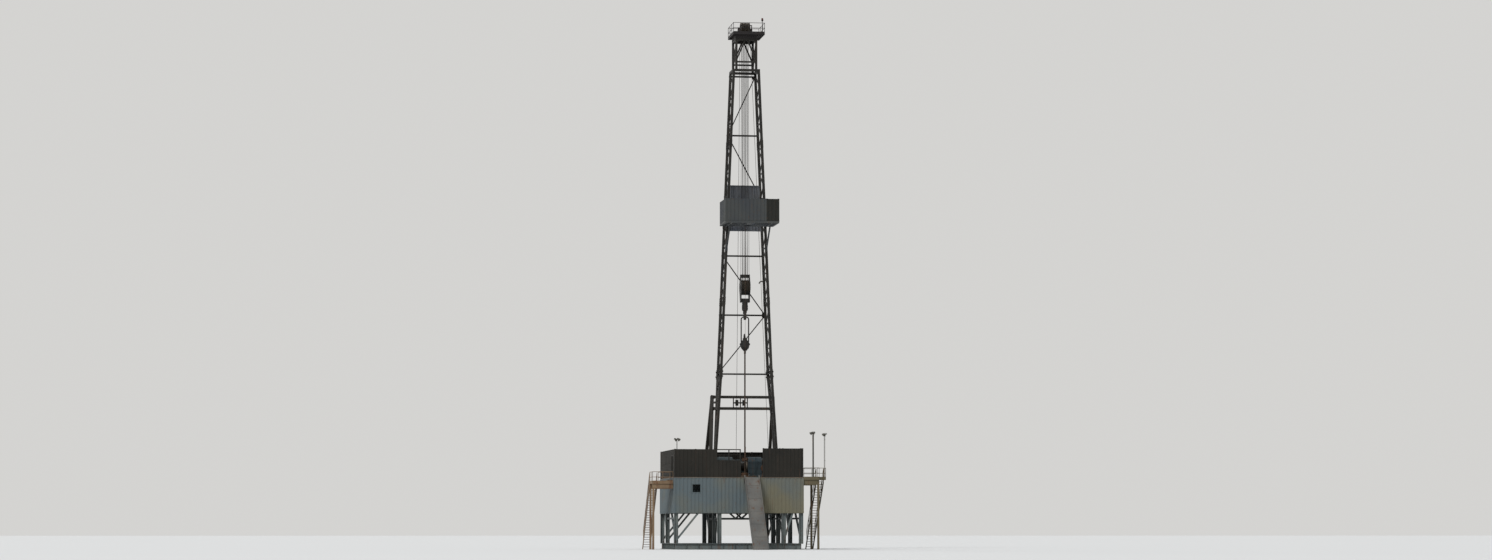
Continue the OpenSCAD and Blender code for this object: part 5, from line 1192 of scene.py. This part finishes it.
swivel_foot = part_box("swivel")[0][2]
collar_z = swivel_foot + 0.48
goose = Vector((0, 0.3, swivel_foot + 0.6))
bonnet_ring, gland_ring, body_r, nut_r = 0.15, 0.107, 0.223, 0.115
swivel_trim = bmesh.new()
bolt_ring(swivel_trim, (0, 0, collar_z + 0.028), (0, 0, 1), 12, bonnet_ring, 0.012, 0.016, math.pi / 12)
bolt_ring(swivel_trim, (0, 0, swivel_foot + 0.034), (0, 0, -1), 12, gland_ring, 0.009, 0.01, math.pi / 12)
for z, radius, height, sides in ((collar_z - 0.05, body_r, 0.012, 48), (swivel_foot + 0.27, body_r, 0.012, 48),
                                 (collar_z + 0.07, nut_r, 0.03, 24), (collar_z + 0.115, nut_r, 0.03, 24)):
    boss(swivel_trim, (0, 0, z), upward, radius, height, sides)
for side in (-1, 1):
    way = Vector((side, 0, 0))
    ear = Vector((side * 0.25, 0, swivel_foot + 0.33))
    boss(swivel_trim, ear - way * 0.004, way, 0.042, 0.012, 20)
    bolts(swivel_trim, ear.x + side * 0.008, (-0.03, 0.03), ear.z, way, 0.008, 0.008)
for z in (0.005, 0.05):
    boss(swivel_trim, goose + upward * z, upward, 0.062, 0.015, 24)
for c, s in circle(3):
    lug = Vector((c, s, 0))
    bar(swivel_trim, goose + lug * 0.05 + upward * 0.018, goose + lug * 0.078 + upward * 0.018, 0.024, 0.03)
add_piece("swivel_bolts", swivel_trim, block_coat, body="travelling")

# The kelly is a hexagonal steel bar that drives the string from the rotary. It is screwed into the swivel
# with round collars, and drilling mud has dried on it in reddish runs.
kelly_coat = coat("kelly_coat", (40, 40, 35), (66, 55, 44), (70, 46, 34), runs=0.7, rough=0.5, metal=0.2)
finish_node(kelly_coat, "kelly")
kelly_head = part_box("kelly")[1][2]
collar_r = 0.0545
kelly_trim = bmesh.new()
for z in (kelly_head - 0.325, kelly_head - 0.225):
    boss(kelly_trim, (0, 0, z), upward, collar_r, 0.012, 24)
add_piece("kelly_collars", kelly_trim, kelly_coat, body="kelly_bar")

# Rotary: a fabricated housing with a chain guard carries the turning table. The kelly bushing sits in it on
# drive pins, with four rollers behind bolted caps, and both are brown with mud and rust.
rotary_coat = coat("rotary_coat", (58, 56, 50), (78, 70, 60), (92, 62, 42), runs=0.5)
turn_coat = coat("turn_coat", (106, 100, 90), (128, 120, 106), (96, 64, 44), runs=0.5, rough=0.45, metal=0.7)
bushing_coat = coat("bushing_coat", (60, 42, 30), (78, 58, 42), (72, 44, 28), runs=0.6)
finish_node(rotary_coat, "rotary_housing")
finish_node(turn_coat, "rotary_table", "drum")
finish_node(bushing_coat, "kelly_bushing", "deadline_anchor", "pipe_tong")
case_low, case_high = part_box("rotary_housing")
case_top = case_high[2]
cover_ring, cover_bolt, lid_bolt = 0.33, (0.009, 0.008), (0.013, 0.014)
rotary_trim = bmesh.new()
bolts(rotary_trim, (case_low[0] + 0.04, -0.2, 0.2, case_high[0] - 0.04),
      (case_low[1] + 0.03, case_high[1] - 0.03), case_top, upward, *lid_bolt)
for way, y in ((-1, case_low[1]), (1, case_high[1])):
    for x in (-0.45, -0.15, 0.15, 0.45):
        slab(rotary_trim, (x - 0.006, y, floor_top), (x + 0.006, y + way * 0.025, case_top - 0.01))
bolt_ring(rotary_trim, (0, 0, case_top), upward, 16, cover_ring, *cover_bolt, math.pi / 16)
for x in (-0.47, 0.47):
    pad(rotary_trim, x, -0.05, case_top, (0.035, 0.07), 0.03)
    pipe(rotary_trim, (x, -0.05, case_top + 0.03), (x, 0.06, case_top + 0.05), 0.01)
add_piece("rotary_bolts", rotary_trim, rotary_coat)

table_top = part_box("rotary_table")[1][2]
grip_z = upward * (table_top + 0.001)
stud_ring, stud_nut = 0.255, (0.014, 0.012)
table_trim = bmesh.new()
for c, s in circle(4, math.pi / 4):
    boss(table_trim, (stud_ring * c, stud_ring * s, table_top), upward, 0.028, 0.005, 20)
bolt_ring(table_trim, (0, 0, table_top), upward, 4, stud_ring, *stud_nut, math.pi / 4)
for k, (c, s) in enumerate(circle(24)):
    if k % 6 != 3:
        out = Vector((c, s, 0))
        bar(table_trim, out * 0.235 + grip_z, out * 0.29 + grip_z, 0.008, 0.004)
add_piece("table_studs", table_trim, turn_coat, body="rotary")

bushing_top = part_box("kelly_bushing")[1][2]
flange_z = upward * (table_top + 0.03)
cap_out, pin_ring, pin_height, lip_ring = 0.185, 0.19, 0.03, 0.125
bushing_trim = bmesh.new()
for c, s in circle(4):
    out, aside = Vector((c, s, 0)), Vector((-s, c, 0))
    bolt_ring(bushing_trim, out * cap_out + flange_z + upward * 0.06, out, 6, 0.028, 0.006, 0.007)
    diagonal = (out + aside).normalized()
    at = diagonal * pin_ring + flange_z
    boss(bushing_trim, at, upward, 0.016, pin_height, 12)
    bolt(bushing_trim, at + upward * pin_height, upward, *stud_nut)
    for swing in (-0.35, 0.35):
        lip_way = (diagonal + Vector((-diagonal.y, diagonal.x, 0)) * swing).normalized()
        bolt(bushing_trim, lip_way * lip_ring + upward * bushing_top, upward, 0.009, 0.01)
add_piece("bushing_bolts", bushing_trim, bushing_coat, body="rotary")

# Drawworks: a welded skid with two chain cases in blue-grey machine paint, their inspection panels bolted
# on. Wire rope lies in close wraps on the drum, and a band brake grips each of its flanges.
winch_coat = coat("winch_coat", (48, 60, 65), (64, 73, 74), (78, 55, 42), runs=0.45, patch=0.6)
finish_node(winch_coat, "drawworks")
winch_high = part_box("drawworks")[1]
drum_low, drum_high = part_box("drum")
winch_front, winch_rear, winch_top = drum_low[1] - 0.08, winch_high[1] - 0.001, winch_high[2]
case_half, case_in = 1.1, 0.4
skid_top = floor_top + 0.12
drum_at = Vector((0, (drum_low[1] + drum_high[1]) / 2, (drum_low[2] + drum_high[2]) / 2))
wrap_r, wrap_pitch, wrap_count = 0.209, 0.019, 35
coil = wrap_pitch * wrap_count
wraps = bmesh.new()
rope_arc(wraps, drum_at - Vector((coil / 2, 0, 0)), (1, 0, 0), wrap_r, 180, 180 - 360 * wrap_count,
         20 * wrap_count, line_gauge, advance=coil, sides=6)
add_piece("drum_wraps", wraps, line_coat)

panel_bolt, seam_bolt = (0.01, 0.008), (0.009, 0.008)
lid_y, lid_plate, lid_bolt = winch_front + 0.675, 0.014, (0.01, 0.01)
grip = (0.05, 0.016, 0.2, 0.05)
louvres = [(0.12, 0.02, z, 0.006) for z in (0.38, 0.41, 0.44, 0.47)]
shaft_end, shaft_ring, band_x, band_r = 1.249, 0.06, 0.37, 0.366
winch = bmesh.new()
for side in (-1, 1):
    way = (side, 0, 0)
    outer, edge, inner = side * (case_half - 0.012), side * case_half, side * case_in
    lid = side * (case_half + case_in) / 2
    panel_face = outer + side * 0.008
    for y0 in (winch_front + 0.11, winch_front + 0.79):
        y1, middle = y0 + 0.6, y0 + 0.3
        bolt_y0, bolt_y1, bolt_head = y0 + 0.095, y1 - 0.095, winch_top - 0.355
        slab(winch, (outer, y0 + 0.07, skid_top + 0.13), (panel_face, y1 - 0.07, winch_top - 0.33))
        bolts(winch, panel_face, (bolt_y0, middle, bolt_y1), (skid_top + 0.155, bolt_head), way, *panel_bolt)
        bolts(winch, panel_face, (bolt_y0, bolt_y1), (skid_top + winch_top - 0.2) / 2, way, *panel_bolt)
        for half, out, foot, height in (grip, *louvres):
            slab(winch, (outer, middle - half, skid_top + foot),
                 (outer + side * out, middle + half, skid_top + foot + height))
    for y in (winch_front + 0.27, winch_rear - 0.3):
        slab(winch, (inner, y, winch_top - 0.004), (edge, y + 0.008, winch_top + 0.014))
    pad(winch, lid, lid_y, winch_top, (0.22, 0.275), lid_plate)
    bolts(winch, astride(lid, 0.19), (lid_y - 0.245, lid_y, lid_y + 0.245), winch_top + lid_plate, upward,
          *lid_bolt)
    for x in astride(lid, 0.22):
        boss(winch, (x, winch_front + 1.1, winch_top), upward, 0.022, 0.04, 16)
    for z in (skid_top + 0.12, skid_top + 0.4, skid_top + 0.68):
        pad(winch, lid, winch_front - 0.006, z, (0.3, 0.006), 0.03)
    for x in (lid - 0.285, lid + 0.285):
        pad(winch, x, winch_front - 0.006, skid_top + 0.12, (0.015, 0.006), 0.59)
    bolts(winch, (lid - 0.25, lid, lid + 0.25), winch_front - 0.012, (skid_top + 0.135, skid_top + 0.695),
          (0, -1, 0), *seam_bolt)
    for y in (winch_front + 0.15, winch_front + 0.75, winch_front + 1.35):
        gusset(winch, [(edge, y, floor_top), (edge + side * 0.1, y, floor_top), (edge, y, skid_top)], 0.014)
        slab(winch, (edge, y - 0.05, floor_top), (edge + side * 0.11, y + 0.05, floor_top + 0.012))
        bolt(winch, (edge + side * 0.08, y + 0.03, floor_top + 0.012), upward, *base_bolt)
    bolt_ring(winch, (side * shaft_end, winch_front + 0.8, winch_top - 0.16), way, 6, shaft_ring, 0.011, 0.01)
    rope_arc(winch, (side * band_x, drum_at.y, drum_at.z), (1, 0, 0), band_r, -40, 220, 26, 0.008)
add_piece("drawworks_covers", winch, winch_coat)

guard_x, guard_r = 0.35, 0.1
rear_trim = bmesh.new()
for x in (-0.25, 0.0, 0.25):
    pad(rear_trim, x, winch_rear - 0.275, winch_top - 0.203, (0.1, 0.085), 0.015)
    bolts(rear_trim, astride(x, 0.08), winch_rear - 0.34, winch_top - 0.188, upward, 0.009, 0.009)
for x in (-0.75, 0.0, 0.75):
    pad(rear_trim, x, winch_rear + 0.003, skid_top + 0.08, (0.25, 0.005), 0.42)
    bolts(rear_trim, (x - 0.23, x, x + 0.23), winch_rear + 0.008, [skid_top + z for z in (0.105, 0.29, 0.475)],
          (0, 1, 0), *seam_bolt)
for k in range(4):
    y = 0.565 + k * 0.28
    pad(rear_trim, guard_x, y, floor_top, (guard_r + 0.004, 0.015), 0.1)
    rope_arc(rear_trim, (guard_x, y, floor_top + 0.1), (0, 1, 0), guard_r, 0, 180, 15, 0.006)
lever = Vector((0.76, winch_front - 0.19, floor_top + 0.96))
pipe(rear_trim, lever, lever + Vector((0, -0.03, 0.12)), 0.02, 14)
add_piece("drawworks_rear", rear_trim, winch_coat)

# The anchor holds the dead end of the drilling line. The rope takes three turns round its cast barrel and
# ends under a clamp, and the anchor is bolted to the floor.
anchor_low, anchor_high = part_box("deadline_anchor")
anchor_at = Vector(((anchor_low[0] + anchor_high[0]) / 2, -line_r, anchor_high[2] - 0.22))
barrel_r, barrel_lead = 0.199, 0.06
anchor_turns = bmesh.new()
rope_arc(anchor_turns, anchor_at, (0, 1, 0), barrel_r, 0, -1080, 72, line_gauge, advance=barrel_lead)
add_piece("anchor_turns", anchor_turns, line_coat)
anchor_trim = bmesh.new()
pad(anchor_trim, anchor_at.x, anchor_at.y + 0.058, anchor_at.z + 0.19, (0.03, 0.018), 0.025)
for way in (-1, 1):
    bolt_ring(anchor_trim, anchor_at + Vector((0, way * 0.12, 0)), (0, way, 0), 6, 0.06, 0.009, 0.01)
bolts(anchor_trim, astride(anchor_at.x, 0.19), astride(anchor_at.y, 0.14), floor_top + 0.03, upward, *base_bolt)
add_piece("anchor_bolts", anchor_trim, bushing_coat)

# The pipe tong hangs over the rotary on a rod and a line. Its jaw ring has dies, pins with nuts, a lever
# handle and guards, all worn to rust brown.
tong_at = Vector((-0.07, -0.5075, floor_top + 0.85))
die_r, jaw_r, jaw_guard, handle = 0.055, 0.105, 0.148, 0.52
tong = bmesh.new()
for angle in (190, 235, 305, 350):
    turn = math.radians(angle)
    boss(tong, tong_at + Vector((die_r * math.cos(turn), die_r * math.sin(turn), 0.02)), upward, 0.012, 0.09, 6)
for angle in (-20, 200):
    turn = math.radians(angle)
    pin = tong_at + Vector((jaw_r * math.cos(turn), jaw_r * math.sin(turn), 0))
    for z, way in ((-0.025, -1), (0.155, 1)):
        bolt(tong, pin + upward * z, (0, 0, way), 0.028, 0.018)
for z in (0.006, 0.124):
    rope_arc(tong, tong_at + upward * z, (0, 0, 1), jaw_guard, 130, 410, 28, 0.008)
boss(tong, tong_at + Vector((0, -jaw_r - handle, 0.01)), upward, 0.012, 0.11, 12)
for k in range(4):
    pad(tong, tong_at.x, tong_at.y - 0.174 - k * 0.11, tong_at.z + 0.1, (0.03, 0.006), 0.012)
hang = tong_at + Vector((0, -jaw_r, 0.13))
for z, radius in ((0.085, 0.04), (0.3, 0.038), (0.55, 0.04)):
    boss(tong, hang + upward * z, upward, radius, 0.025, 18)
for z in (0.6, 0.66, 0.72):
    pad(tong, hang.x, hang.y, hang.z + z, (0.018, 0.012), 0.02)
add_piece("tong_fittings", tong, bushing_coat)

# Flood lamps stand on tube posts at the floor's corners and on the right landing: a cross arm with two
# bell reflectors behind glass on each.
lamp_coat = coat("lamp_coat", (72, 72, 66), (90, 88, 80), (92, 66, 46), runs=0.4)
lamp_glass = tinted("lamp_glass", 14.0, (0.30, 0.32, 0.33), (0.62, 0.63, 0.62), Roughness=0.12, Metallic=0.3)
finish_node(lamp_coat, "light_poles")
lamp_posts = [(-3.75, -2.34, floor_top, 1.9), (3.1, -2.38, 3.54, 2.3), (3.36, -1.0, 3.54, 2.35),
              (3.81, -1.84, 3.54, 2.25)]
bell_r, bell_depth, arm_half = 0.079, 0.11, 0.12
beam_out, beam_down = 0.819, 0.574
lamps, lenses = bmesh.new(), bmesh.new()
for x, y, foot, height in lamp_posts:
    top = Vector((x, y, foot + height))
    inward = -Vector((x, y, 0)).normalized()
    aside = Vector((-inward.y, inward.x, 0))
    beam = inward * beam_out - upward * beam_down
    for side in (-1, 1):
        back = top - inward * 0.035 + aside * side * arm_half + upward * 0.01
        mouth = back + beam * bell_depth
        pipe(lamps, back - beam * 0.04, back, 0.026, 18)
        pipe(lamps, mouth - beam * 0.008, mouth + beam * 0.004, bell_r, 28)
        pipe(lenses, mouth + beam * 0.001, mouth + beam * 0.008, bell_r - 0.01, 28)
        for way in (-1, 1):
            bracket = back + aside * way * 0.086
            bar(lamps, bracket + beam * 0.06, bracket - upward * 0.035, 0.006, 0.02)
    pipe(lamps, top - upward * 0.045, top + upward * 0.006, 0.024, 16)
    for lift in (0.04, 0.9, height - 0.3):
        boss(lamps, (x, y, foot + lift), upward, 0.022, 0.02, 14)
    cable = Vector((x, y, foot)) - inward * 0.021
    rope(lamps, [cable + upward * 0.1, cable + upward * (height - 0.05)], 0.004, across=aside)
add_piece("lamp_fittings", lamps, lamp_coat)
add_piece("lamp_lenses", lenses, lamp_glass)
